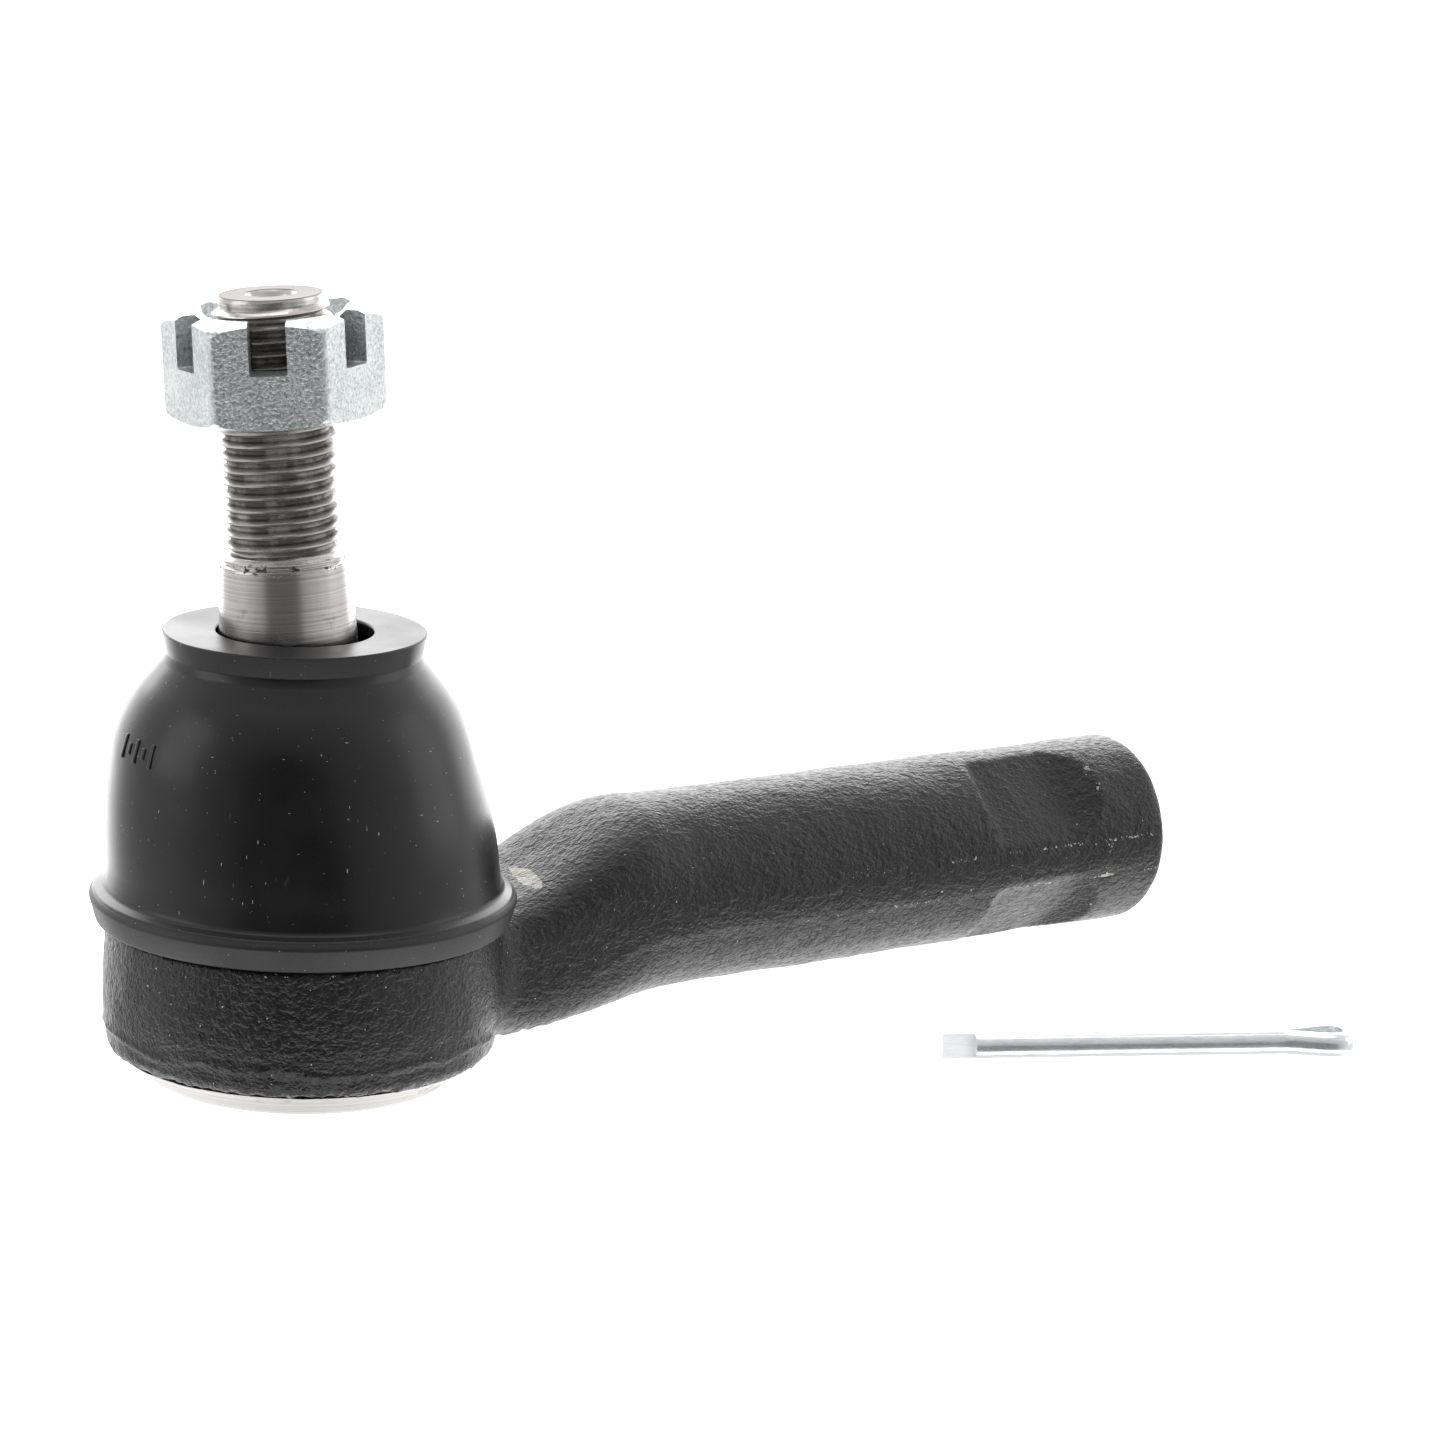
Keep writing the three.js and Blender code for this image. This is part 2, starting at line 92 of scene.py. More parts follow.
def fillet(corners: Sequence[Corner], steps: int = 5, closed: bool = True) -> list[Vector]:
    """Rounds an outline's corners.

    Args:
        corners: (radius, height) points, with a fillet's radius as a third number where round.
        steps: Segments in each fillet.
        closed: Whether the last point joins the first one.

    Returns:
        The outline's points, with an arc in place of each rounded corner.
    """
    points: list[Vector] = []
    count = len(corners)
    for i, corner in enumerate(corners):
        here = Vector(corner[:2])
        round_radius = corner[2] if len(corner) > 2 else 0.0
        if not round_radius or (not closed and i in (0, count - 1)):
            points.append(here)
            continue
        back = Vector(corners[i - 1][:2]) - here
        ahead = Vector(corners[(i + 1) % count][:2]) - here
        half = back.angle(ahead) / 2
        reach = min(round_radius / math.tan(half), 0.48 * min(back.length, ahead.length))
        start = here + back.normalized() * reach
        end = here + ahead.normalized() * reach
        for k in range(steps + 1):
            t = k / steps
            points.append(start * (1 - t) ** 2 + here * (2 * t * (1 - t)) + end * t**2)
    return points


def arc(centre: tuple[float, float], radius: float, start: float, end: float, steps: int) -> list[Corner]:
    """Points of an arc in the radius-height plane.

    Args:
        centre: The arc's centre.
        radius: The arc's radius.
        start: First angle in degrees from the radius direction.
        end: Last angle in degrees.
        steps: Segments in the arc.

    Returns:
        The arc's points as outline corners.
    """
    angles = [math.radians(start + (end - start) * i / steps) for i in range(steps + 1)]
    return [(centre[0] + radius * math.cos(a), centre[1] + radius * math.sin(a)) for a in angles]


def smooth_through(points: Sequence[Corner], steps: int) -> list[Corner]:
    """A smooth curve through points of the radius-height plane.

    Args:
        points: The points, in order.
        steps: Segments from each point to the next.

    Returns:
        The curve's points.
    """
    curve: list[Corner] = []
    ends = [points[0], *points, points[-1]]
    for a, b, c, d in zip(ends, ends[1:], ends[2:], ends[3:]):
        for i in range(steps):
            t = i / steps
            weights = (
                -0.5 * t + t**2 - 0.5 * t**3,
                1 - 2.5 * t**2 + 1.5 * t**3,
                0.5 * t + 2 * t**2 - 1.5 * t**3,
                -0.5 * t**2 + 0.5 * t**3,
            )
            curve.append(tuple(sum(w * p[k] for w, p in zip(weights, (a, b, c, d))) for k in (0, 1)))
    return [*curve, points[-1]]


def tidy(bm: BMesh) -> BMesh:
    """Merges doubles and turns the faces outwards, and returns the same mesh.

    Args:
        bm: The mesh, which is changed.

    Returns:
        The mesh.
    """
    bmesh.ops.remove_doubles(bm, verts=bm.verts, dist=MERGE)
    bmesh.ops.dissolve_degenerate(bm, edges=bm.edges, dist=MERGE / 4)
    bmesh.ops.recalc_face_normals(bm, faces=bm.faces)
    return bm


def lathe(outline: Iterable[Vector | Corner], closed: bool = True, steps: int = 192) -> BMesh:
    """Spins an outline about Z.

    Args:
        outline: (radius, height) points.
        closed: True for a ring's outline, False for one that starts and ends on the axis.
        steps: Segments round the axis.

    Returns:
        The turned solid.
    """
    bm = bmesh.new()
    verts = [bm.verts.new((p[0], 0, p[1])) for p in outline]
    edges = [bm.edges.new(pair) for pair in zip(verts, verts[1:])]
    if closed:
        edges.append(bm.edges.new((verts[-1], verts[0])))
    bmesh.ops.spin(
        bm, geom=verts + edges, cent=(0, 0, 0), axis=(0, 0, 1), angle=FULL_TURN, steps=steps, use_merge=True
    )
    return tidy(bm)


def carry(bm: BMesh, face: BMFace, is_cap: bool) -> BMFace:
    """Extrudes a face in place.

    Args:
        bm: The face's mesh.
        face: The face at the growing end.
        is_cap: Whether the face stays behind, as the far end's cap.

    Returns:
        The new face at the growing end.
    """
    grown = bmesh.ops.extrude_face_region(bm, geom=[face])["geom"]
    if not is_cap:
        bmesh.ops.delete(bm, geom=[face], context="FACES_ONLY")
    return next(g for g in grown if isinstance(g, BMFace))


def rim(bm: BMesh, height: float) -> list[BMEdge]:
    """The open edges of a tube at a height.

    Args:
        bm: The tube's mesh.
        height: The height of the open end.

    Returns:
        The edges.
    """
    return [
        e for e in bm.edges if e.is_boundary and all(abs(v.co.z - height) < 0.01 for v in e.verts)
    ]


def extend(bm: BMesh, edges: list[BMEdge], stations: Iterable[Vector | Corner]) -> list[BMEdge]:
    """Carries an open round rim on through (radius, height) stations.

    Args:
        bm: The tube's mesh.
        edges: The rim's edges.
        stations: Where the rim goes next, one ring at a time.

    Returns:
        The new rim's edges.
    """
    for radius, height in stations:
        made = bmesh.ops.extrude_edge_only(bm, edges=edges)["geom"]
        edges = [g for g in made if isinstance(g, BMEdge)]
        for vert in (g for g in made if isinstance(g, BMVert)):
            flat = Vector((vert.co.x, vert.co.y))
            turned = flat.normalized() * radius
            vert.co = (turned.x, turned.y, height)
    return edges


def threaded_tube(
    root: float,
    crest: float,
    pitch: float,
    start: float,
    end: float,
    limit: Callable[[float], float],
    steps: int = 96,
) -> BMesh:
    """An open tube with a right-hand thread, cut square at both ends.

    Args:
        root: Radius at the bottom of the thread.
        crest: Radius at its top.
        pitch: Rise in one turn.
        start: Height of the lower end.
        end: Height of the upper end.
        limit: Largest radius at a height, as a turned chamfer leaves it.
        steps: Segments round the axis.

    Returns:
        The tube's mesh, open at both ends.
    """
    bm = bmesh.new()
    turns = math.ceil((end - start) / pitch) + 3
    crest_end, root_start, root_end = 1 / 8, 7 / 16, 11 / 16
    shape = ((0.0, crest), (crest_end, crest), (root_start, root), (root_end, root))
    verts = [
        bm.verts.new((radius, 0, start + (turn - 2 + share) * pitch))
        for turn in range(turns)
        for share, radius in shape
    ]
    edges = [bm.edges.new(pair) for pair in zip(verts, verts[1:])]
    bmesh.ops.spin(
        bm,
        geom=verts + edges,
        cent=(0, 0, 0),
        axis=(0, 0, 1),
        angle=FULL_TURN,
        steps=steps,
        dvec=(0, 0, pitch / steps),
    )
    bmesh.ops.remove_doubles(bm, verts=bm.verts, dist=MERGE)
    for height, side in ((start, -1), (end, 1)):
        bmesh.ops.bisect_plane(
            bm,
            geom=[*bm.verts, *bm.edges, *bm.faces],
            plane_co=(0, 0, height),
            plane_no=(0, 0, side),
            clear_outer=True,
        )
    for vert in bm.verts:
        radius = math.hypot(vert.co.x, vert.co.y)
        kept = min(1.0, limit(vert.co.z) / radius)
        vert.co.x *= kept
        vert.co.y *= kept
    return bm


def working_object(bm: BMesh, name: str = "tool") -> Object:
    """Puts a mesh on a scratch object, in millimetres, for modifiers to work on.

    Args:
        bm: The mesh, which is used up.
        name: The object's name.

    Returns:
        The object.
    """
    mesh = bpy.data.meshes.new(name)
    bm.to_mesh(mesh)
    bm.free()
    obj = bpy.data.objects.new(name, mesh)
    bpy.context.scene.collection.objects.link(obj)
    return obj


def apply_modifiers(obj: Object) -> None:
    """Makes an object's modifiers part of its mesh.

    Args:
        obj: The object.
    """
    graph = bpy.context.evaluated_depsgraph_get()
    mesh = bpy.data.meshes.new_from_object(obj.evaluated_get(graph))
    old = obj.data
    obj.modifiers.clear()
    obj.data = mesh
    bpy.data.meshes.remove(old)


def combine(target: Object, tool: BMesh, cut: Cut) -> None:
    """Joins, removes or intersects a tool's mesh with a scratch object's mesh.

    Args:
        target: The object that is changed.
        tool: The tool's mesh, which is used up.
        cut: What is done with the tool.
    """
    other = working_object(tool)
    modifier = target.modifiers.new("cut", "BOOLEAN")
    modifier.operation = cut.value
    modifier.solver = "EXACT"
    modifier.object = other
    apply_modifiers(target)
    bpy.data.objects.remove(other)


def take_mesh(obj: Object) -> BMesh:
    """Moves a scratch object's mesh into a bmesh and removes the object.

    Args:
        obj: The object.

    Returns:
        The mesh.
    """
    bm = bmesh.new()
    bm.from_mesh(obj.data)
    bpy.data.objects.remove(obj)
    return bm


@dataclass(frozen=True)
class Piece:
    """A visible piece: its name, what it rides on and what it stands for."""

    name: str
    body: str
    slot: str
    replaces: tuple[str, ...] = ()
    crease: float = 32.0
    flat_sided: bool = False

    def make(self, bm: BMesh, material: Material, place: Matrix | None = None) -> Object:
        """Turns a finished mesh in millimetres into the piece.

        Args:
            bm: The mesh, which is used up.
            material: The piece's finish.
            place: Where the mesh's own frame stands in the part's frame, in millimetres.

        Returns:
            The piece's object, at the origin, riding on its body.
        """
        if place is not None:
            bmesh.ops.transform(bm, matrix=place, verts=bm.verts)
        bmesh.ops.scale(bm, vec=(MM, MM, MM), verts=bm.verts)
        for face in bm.faces:
            face.smooth = True
            face.material_index = 0
        obj = working_object(bm, self.name)
        obj.data.materials.clear()
        obj.data.materials.append(material)
        obj.data.set_sharp_from_angle(angle=math.radians(self.crease))
        if self.flat_sided:
            obj.modifiers.new("even_normals", "WEIGHTED_NORMAL").keep_sharp = True
        if self.body:
            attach(obj, self.body)
        if self.replaces:
            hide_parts(*self.replaces)
        LOG.info("%s: %d faces", self.name, len(obj.data.polygons))
        return obj


# ------------------------------------------------------------------ materials


class Surface:
    """A material under construction: a Principled shader and the nodes that feed it."""

    def __init__(self, name: str, place: Matrix | None = None) -> None:
        """Starts the material.

        Args:
            name: The material's name.
            place: The frame, in millimetres, that the material's coordinates are read in.
        """
        self.material = bpy.data.materials.new(name)
        self.material.use_nodes = True
        self.tree = self.material.node_tree
        self.shader = self.tree.nodes["Principled BSDF"]
        mapping = self.add("ShaderNodeMapping", vector_type="TEXTURE")
        location, rotation, _ = (place or Matrix.Identity(4)).decompose()
        mapping.inputs["Location"].default_value = location * MM
        mapping.inputs["Rotation"].default_value = rotation.to_euler()
        mapping.inputs["Scale"].default_value = (MM, MM, MM)
        self.link(self.add("ShaderNodeTexCoord").outputs["Object"], mapping.inputs["Vector"])
        self.point = mapping.outputs["Vector"]

    def add(self, kind: str, **settings: object) -> Node:
        """A new node with its settings."""
        node = self.tree.nodes.new(kind)
        for key, value in settings.items():
            setattr(node, key, value)
        return node

    def link(self, source: NodeSocket | float | Sequence[float], target: NodeSocket) -> None:
        """Joins an output to an input, or sets the input to a plain value."""
        if isinstance(source, NodeSocket):
            self.tree.links.new(source, target)
        else:
            target.default_value = source

    def set(self, **values: NodeSocket | float | Sequence[float]) -> None:
        """Feeds the shader's inputs, named in lower case with underscores."""
        for key, value in values.items():
            self.link(value, self.shader.inputs[key.replace("_", " ").title().replace("Ior", "IOR")])

    def math(self, operation: str, a: NodeSocket | float, b: NodeSocket | float = 0.0) -> NodeSocket:
        """One arithmetic step."""
        node = self.add("ShaderNodeMath", operation=operation)
        self.link(a, node.inputs[0])
        self.link(b, node.inputs[1])
        return node.outputs[0]

    def stretched(self, scale: Sequence[float], shift: Sequence[float] = (0, 0, 0)) -> NodeSocket:
        """The point with each axis multiplied, to draw a pattern out along an axis."""
        node = self.add("ShaderNodeMapping", vector_type="POINT")
        self.link(self.point, node.inputs["Vector"])
        node.inputs["Scale"].default_value = scale
        node.inputs["Location"].default_value = shift
        return node.outputs["Vector"]

    def axes(self) -> tuple[NodeSocket, NodeSocket, NodeSocket]:
        """The point's X, Y and Z, in millimetres."""
        node = self.add("ShaderNodeSeparateXYZ")
        self.link(self.point, node.inputs[0])
        return node.outputs[0], node.outputs[1], node.outputs[2]

    def noise(
        self,
        scale: float,
        detail: float = 3.0,
        roughness: float = 0.5,
        distortion: float = 0.0,
        at: NodeSocket | None = None,
    ) -> NodeSocket:
        """Soft noise from 0 to 1, with `scale` features in a millimetre."""
        node = self.add("ShaderNodeTexNoise")
        self.link(at or self.point, node.inputs["Vector"])
        node.inputs["Scale"].default_value = scale
        node.inputs["Detail"].default_value = detail
        node.inputs["Roughness"].default_value = roughness
        node.inputs["Distortion"].default_value = distortion
        return node.outputs["Fac"]

    def cells(self, scale: float, at: NodeSocket | None = None) -> tuple[NodeSocket, NodeSocket]:
        """Distance to the nearest of scattered points, and that point's own random colour."""
        node = self.add("ShaderNodeTexVoronoi")
        self.link(at or self.point, node.inputs["Vector"])
        node.inputs["Scale"].default_value = scale
        return node.outputs["Distance"], node.outputs["Color"]

    def ramp(
        self, value: NodeSocket, low: float, high: float, to_low: float = 0.0, to_high: float = 1.0
    ) -> NodeSocket:
        """Maps low..high of a value smoothly to to_low..to_high, clamped."""
        node = self.add("ShaderNodeMapRange", interpolation_type="SMOOTHSTEP")
        self.link(value, node.inputs["Value"])
        for key, number in zip(("From Min", "From Max", "To Min", "To Max"), (low, high, to_low, to_high)):
            node.inputs[key].default_value = number
        return node.outputs["Result"]

    def blend(self, share: NodeSocket, a: NodeSocket | Colour, b: NodeSocket | Colour) -> NodeSocket:
        """Colour a where share is 0, b where it is 1."""
        node = self.add("ShaderNodeMix", data_type="RGBA")
        self.link(share, node.inputs["Factor"])
        for colour, key in ((a, 6), (b, 7)):
            self.link(colour if isinstance(colour, NodeSocket) else (*colour, 1.0), node.inputs[key])
        return node.outputs[2]

    def specks(self, scale: float, size: float, share: float, at: NodeSocket | None = None) -> NodeSocket:
        """Scattered dots: 1 on a dot.

        Args:
            scale: Cells in a millimetre.
            size: A dot's radius, as a share of its cell.
            share: How many of the cells hold a dot, from 0 to 1.
            at: The point to read the pattern at, where it is not the plain one.

        Returns:
            The dots' mask.
        """
        distance, colour = self.cells(scale, at)
        split = self.add("ShaderNodeSeparateColor")
        self.link(colour, split.inputs[0])
        chosen = self.math("LESS_THAN", split.outputs[0], share)
        radius = self.math("MULTIPLY", split.outputs[1], size)
        dot = self.math("LESS_THAN", distance, radius)
        return self.math("MULTIPLY", dot, chosen)

    def relief(self, height: NodeSocket, depth: float, strength: float = 1.0) -> None:
        """Raises the surface by a height pattern, `depth` millimetres from low to high."""
        node = self.add("ShaderNodeBump")
        node.inputs["Strength"].default_value = strength
        node.inputs["Distance"].default_value = depth * MM
        self.link(height, node.inputs["Height"])
        self.link(node.outputs["Normal"], self.shader.inputs["Normal"])


@dataclass(frozen=True)
class ForgedCoat:
    """Black dip coat over a forged skin, with chips along the trimmed flash."""

    dark: Colour = (0.0018, 0.0017, 0.0021)
    worn: Colour = (0.0060, 0.0058, 0.0063)
    chip: Colour = (0.42, 0.40, 0.36)
    band_low: float = 10.9
    band_high: float = 14.9
    collar_edge: float = 93.2
    nick_place: tuple[float, float, float] = (24.1, -2.7, 17.4)
    nick_size: tuple[float, float, float] = (0.95, 3.6, 1.6)
    nick_turn: float = -6.0

    def chips(self, s: Surface) -> NodeSocket:
        """Where the coat is chipped: dots all over, thicker along the band's edges and the collar.

        Args:
            s: The finish's surface.

        Returns:
            The socket that carries the result.
        """
        x, _, z = s.axes()
        grain = s.noise(2.6, 4.0, 0.7)
        nearest = s.math(
            "MINIMUM",
            s.math("ABSOLUTE", s.math("SUBTRACT", z, self.band_low)),
            s.math("ABSOLUTE", s.math("SUBTRACT", z, self.band_high)),
        )
        edge = s.math("MULTIPLY", s.ramp(nearest, 0.4, 0.0), s.ramp(x, 36, 80, 0.35, 1.0))
        edge = s.math("MULTIPLY", edge, s.ramp(s.noise(0.21, 2.0), 0.36, 0.56))
        collar = s.ramp(s.math("ABSOLUTE", s.math("SUBTRACT", x, self.collar_edge)), 1.1, 0.1)
        collar = s.math("MULTIPLY", collar, s.ramp(s.noise(0.3, 2.0), 0.5, 0.64))
        raised = s.math("ADD", s.math("MULTIPLY", edge, 0.15), s.math("MULTIPLY", collar, 0.13))
        worn = s.math("GREATER_THAN", s.math("ADD", grain, raised), 0.7)
        dots = s.specks(1.1, 0.13, 0.05)
        fine = s.specks(2.3, 0.2, 0.03)
        return s.math("MAXIMUM", worn, s.math("MAXIMUM", dots, fine))

    def nick(self, s: Surface) -> NodeSocket:
        """A bright bruise where the forging's ramp was knocked.

        Args:
            s: The finish's surface.

        Returns:
            The socket that carries the result.
        """
        node = s.add("ShaderNodeMapping", vector_type="TEXTURE")
        s.link(s.point, node.inputs["Vector"])
        node.inputs["Location"].default_value = self.nick_place
        node.inputs["Rotation"].default_value = (0, 0, math.radians(self.nick_turn))
        node.inputs["Scale"].default_value = self.nick_size
        length = s.add("ShaderNodeVectorMath", operation="LENGTH")
        s.link(node.outputs["Vector"], length.inputs[0])
        uneven = s.math("ADD", length.outputs["Value"], s.math("MULTIPLY", s.noise(1.6, 3.0), 0.7))
        return s.math("LESS_THAN", uneven, 1.25)

    def material(self) -> Material:
        """The finished coat.

        Returns:
            The material.
        """
        s = Surface("forged_coat")
        skin = s.noise(1.5, 2.0, 0.5, 0.3, s.stretched((0.78, 1.0, 1.0)))
        fine = s.noise(3.3, 1.0, 0.5, 0.2, s.stretched((0.8, 1.0, 1.0)))
        fold = s.ramp(s.math("ABSOLUTE", s.math("SUBTRACT", skin, 0.5)), 0.0, 0.13)
        broad = s.noise(0.16, 2.0)
        height = s.math("ADD", s.math("MULTIPLY", skin, 0.6), s.math("MULTIPLY", fine, 0.28))
        height = s.math("ADD", height, s.math("MULTIPLY", fold, 0.05))
        chipped = s.math("MAXIMUM", self.chips(s), self.nick(s))
        tone = s.ramp(s.math("ADD", s.math("MULTIPLY", broad, 0.5), s.math("MULTIPLY", skin, 0.5)), 0.3, 0.72)
        s.set(
            base_color=s.blend(chipped, s.blend(tone, self.dark, self.worn), self.chip),
            roughness=s.ramp(s.math("ADD", skin, s.math("MULTIPLY", fine, 0.5)), 0.45, 1.05, 0.3, 0.46),
            metallic=0.0,
            ior=1.52,
        )
        s.relief(s.math("SUBTRACT", height, s.math("MULTIPLY", chipped, 0.12)), 0.42, 0.85)
        return s.material


@dataclass(frozen=True)
class BootRubber:
    """Smooth moulded rubber with a little dust and lint on it."""

    base: Colour = (0.0022, 0.0021, 0.0027)
    bloom: Colour = (0.009, 0.0085, 0.0095)
    dust: Colour = (0.22, 0.22, 0.225)
    flange_low: float = 15.6
    flange_high: float = 18.5
    top: float = 44.3

    def material(self) -> Material:
        """The finished rubber.

        Returns:
            The material.
        """
        s = Surface("boot_rubber")
        _, _, z = s.axes()
        above = s.ramp(z, self.flange_low - 0.1, self.flange_low)
        below = s.ramp(z, self.flange_high, self.flange_high - 0.1)
        band = s.math("MULTIPLY", above, below)
        top_face = s.ramp(z, self.top - 0.1, self.top)
        patch = s.noise(0.12, 3.0)
        upright = s.specks(0.62, 0.09, 0.6, s.stretched((2.6, 2.6, 0.5)))
        level = s.specks(0.62, 0.09, 0.5, s.stretched((0.75, 0.75, 3.4)))
        lint = s.math("MAXIMUM", upright, level)
        grit = s.math("MAXIMUM", lint, s.specks(1.7, 0.1, 0.36))
        streak = s.noise(3.0, 2.0, 0.5, 0.0, s.stretched((1.0, 1.0, 0.12)))
        where_scratched = s.ramp(s.noise(0.2, 2.0), 0.5, 0.7, 0.0, 0.4)
        scratch = s.math("MULTIPLY", s.ramp(streak, 0.71, 0.76), where_scratched)
        bloomed = s.math("MAXIMUM", s.math("MULTIPLY", band, 0.9), s.math("MULTIPLY", top_face, 0.5))
        film = s.math("ADD", bloomed, s.ramp(patch, 0.35, 0.8, 0.0, 0.35))
        colour = s.blend(film, self.base, self.bloom)
        s.set(
            base_color=s.blend(s.math("MAXIMUM", grit, scratch), colour, self.dust),
            roughness=s.math("ADD", s.ramp(patch, 0.3, 0.75, 0.24, 0.34), s.math("MULTIPLY", bloomed, 0.19)),
            metallic=0.0,
            ior=1.48,
        )
        fine = s.math("MULTIPLY", s.noise(4.0, 2.0), s.ramp(band, 0.0, 1.0, 0.15, 1.0))
        s.relief(s.math("ADD", fine, s.math("MULTIPLY", grit, 0.8)), 0.035, 0.6)
        return s.material


@dataclass(frozen=True)
class TurnedSteel:
    """Bare steel with lathe marks round its axis, and rust or paint where it is handled."""

    name: str = "turned_steel"
    bright: Colour = (0.68, 0.66, 0.645)
    dull: Colour = (0.44, 0.42, 0.41)
    stain: Colour = (0.055, 0.04, 0.03)
    mark_size: float = 0.16
    mark_depth: float = 0.02
    rust_from: float | None = None
    rust_to: float = 0.0
    thread_from: float | None = None
    thread_to: float = 0.0
    end_face: float = 0.0
    thread_root: float = 0.0
    thread_crest: float = 1.0
    coat_above: float | None = None
    coat: Colour = (0.012, 0.012, 0.013)
    shine: float = 1.0
    satin: float = 0.0

    def material(self, place: Matrix | None = None) -> Material:
        """The finished steel.

        Args:
            place: The frame whose Z is the turned piece's axis.

        Returns:
            The material.
        """
        s = Surface(self.name, place)
        x, y, z = s.axes()
        rings = s.noise(1.0, 3.0, 0.7, 0.0, s.stretched((0.02, 0.02, 1 / self.mark_size)))
        patch = s.noise(0.35, 4.0, 0.6)
        spots = s.specks(0.8, 0.16, 0.07)
        dirt = s.ramp(s.math("ADD", patch, s.math("MULTIPLY", rings, 0.3)), 0.72, 0.95, 0.0, 0.55)
        stained = s.math("MAXIMUM", s.math("MULTIPLY", spots, 0.8), dirt)
        radius = s.math("SQRT", s.math("ADD", s.math("MULTIPLY", x, x), s.math("MULTIPLY", y, y)))
        if self.thread_from is not None:
            valley = s.ramp(radius, self.thread_crest - 0.06, self.thread_root + 0.15, 0.0, 0.95)
            on_thread = s.ramp(z, self.thread_from, self.thread_from + 0.3)
            on_thread = s.math("MULTIPLY", on_thread, s.ramp(z, self.thread_to, self.thread_to - 0.6))
            oily = s.ramp(s.noise(0.4, 4.0, 0.6), 0.3, 0.58, 0.45, 1.0)
            in_valley = s.math("MULTIPLY", s.math("MULTIPLY", valley, on_thread), oily)
            stained = s.math("MAXIMUM", stained, in_valley)
            end_face = s.ramp(z, self.end_face - 0.12, self.end_face - 0.02, 0.0, 0.88)
            stained = s.math("MAXIMUM", stained, end_face)
        if self.rust_from is not None:
            middle, half = (self.rust_from + self.rust_to) / 2, (self.rust_to - self.rust_from) / 2
            zone = s.ramp(s.math("ABSOLUTE", s.math("SUBTRACT", z, middle)), half, half * 0.4)
            rusty = s.math("MULTIPLY", zone, s.ramp(s.noise(0.9, 4.0, 0.65), 0.53, 0.6))
            stained = s.math("MAXIMUM", stained, rusty)
        colour = s.blend(s.ramp(rings, 0.3, 0.7), self.bright, self.dull)
        colour = s.blend(stained, colour, self.stain)
        metal = s.math("SUBTRACT", self.shine, s.math("MULTIPLY", stained, self.shine * 0.6))
        polish = s.ramp(rings, 0.3, 0.75, 0.17 + self.satin, 0.29 + self.satin)
        roughness = s.math("ADD", polish, s.math("MULTIPLY", stained, 0.3))
        if self.coat_above is not None:
            ragged = s.math("ADD", z, s.math("MULTIPLY", s.noise(0.45, 4.0, 0.6), 1.1))
            coated = s.math("GREATER_THAN", ragged, self.coat_above + 0.55)
            colour = s.blend(coated, colour, self.coat)
            metal = s.math("MULTIPLY", metal, s.math("SUBTRACT", 1.0, coated))
            roughness = s.math("ADD", roughness, s.math("MULTIPLY", coated, 0.15))
        s.set(base_color=colour, metallic=metal, roughness=roughness)
        s.relief(s.math("SUBTRACT", rings, s.math("MULTIPLY", stained, 0.3)), self.mark_depth, 0.7)
        return s.material


@dataclass(frozen=True)
class ZincPlate:
    """Bright zinc plate over a slightly rough blank."""

    name: str = "zinc_plate"
    light: Colour = (0.74, 0.77, 0.765)
    dark: Colour = (0.42, 0.46, 0.46)
    grain: float = 2.9
    metallic: float = 0.92
    roughness: float = 0.27
    relief_depth: float = 0.1
    draw_out: tuple[float, float, float] = (1.0, 1.0, 1.0)
    matt_side: float = 0.0

    def material(self, place: Matrix | None = None) -> Material:
        """The finished plate.

        Args:
            place: The frame that the grain is drawn out in.

        Returns:
            The material.
        """
        s = Surface(self.name, place)
        grain = s.noise(self.grain, 3.0, 0.65, 0.4, s.stretched(self.draw_out))
        patch = s.noise(0.22, 3.0)
        pits = s.specks(1.3, 0.12, 0.02)
        mottle = s.math("ADD", s.math("MULTIPLY", grain, 0.75), s.math("MULTIPLY", patch, 0.25))
        plate = s.blend(s.ramp(mottle, 0.36, 0.62), self.dark, self.light)
        metallic: NodeSocket | float = self.metallic
        roughness = s.ramp(grain, 0.3, 0.7, self.roughness, self.roughness + 0.14)
        if self.matt_side:
            round_side = s.math("GREATER_THAN", s.math("ABSOLUTE", s.axes()[1]), self.matt_side)
            metallic = s.math("MULTIPLY", round_side, self.metallic)
            roughness = s.math("SUBTRACT", s.math("ADD", roughness, 0.3), s.math("MULTIPLY", round_side, 0.3))
        pitted = s.blend(s.math("MULTIPLY", pits, 0.6), plate, (0.2, 0.21, 0.22))
        s.set(base_color=pitted, metallic=metallic, roughness=roughness)
        s.relief(s.math("SUBTRACT", grain, s.math("MULTIPLY", pits, 0.4)), self.relief_depth, 0.8)
        return s.material


@dataclass(frozen=True)
class MouldedPolymer:
    """Natural bearing polymer, slightly greasy."""

    light: Colour = (0.76, 0.73, 0.64)
    shade: Colour = (0.60, 0.56, 0.45)

    def material(self) -> Material:
        """The finished polymer.

        Returns:
            The material.
        """
        s = Surface("bearing_polymer")
        s.set(
            base_color=s.blend(s.ramp(s.noise(0.3, 3.0), 0.3, 0.7), self.light, self.shade),
            roughness=s.ramp(s.noise(0.5, 2.0), 0.3, 0.7, 0.3, 0.5),
            subsurface_weight=0.05,
        )
        s.relief(s.noise(2.5, 2.0), 0.01)
        return s.material


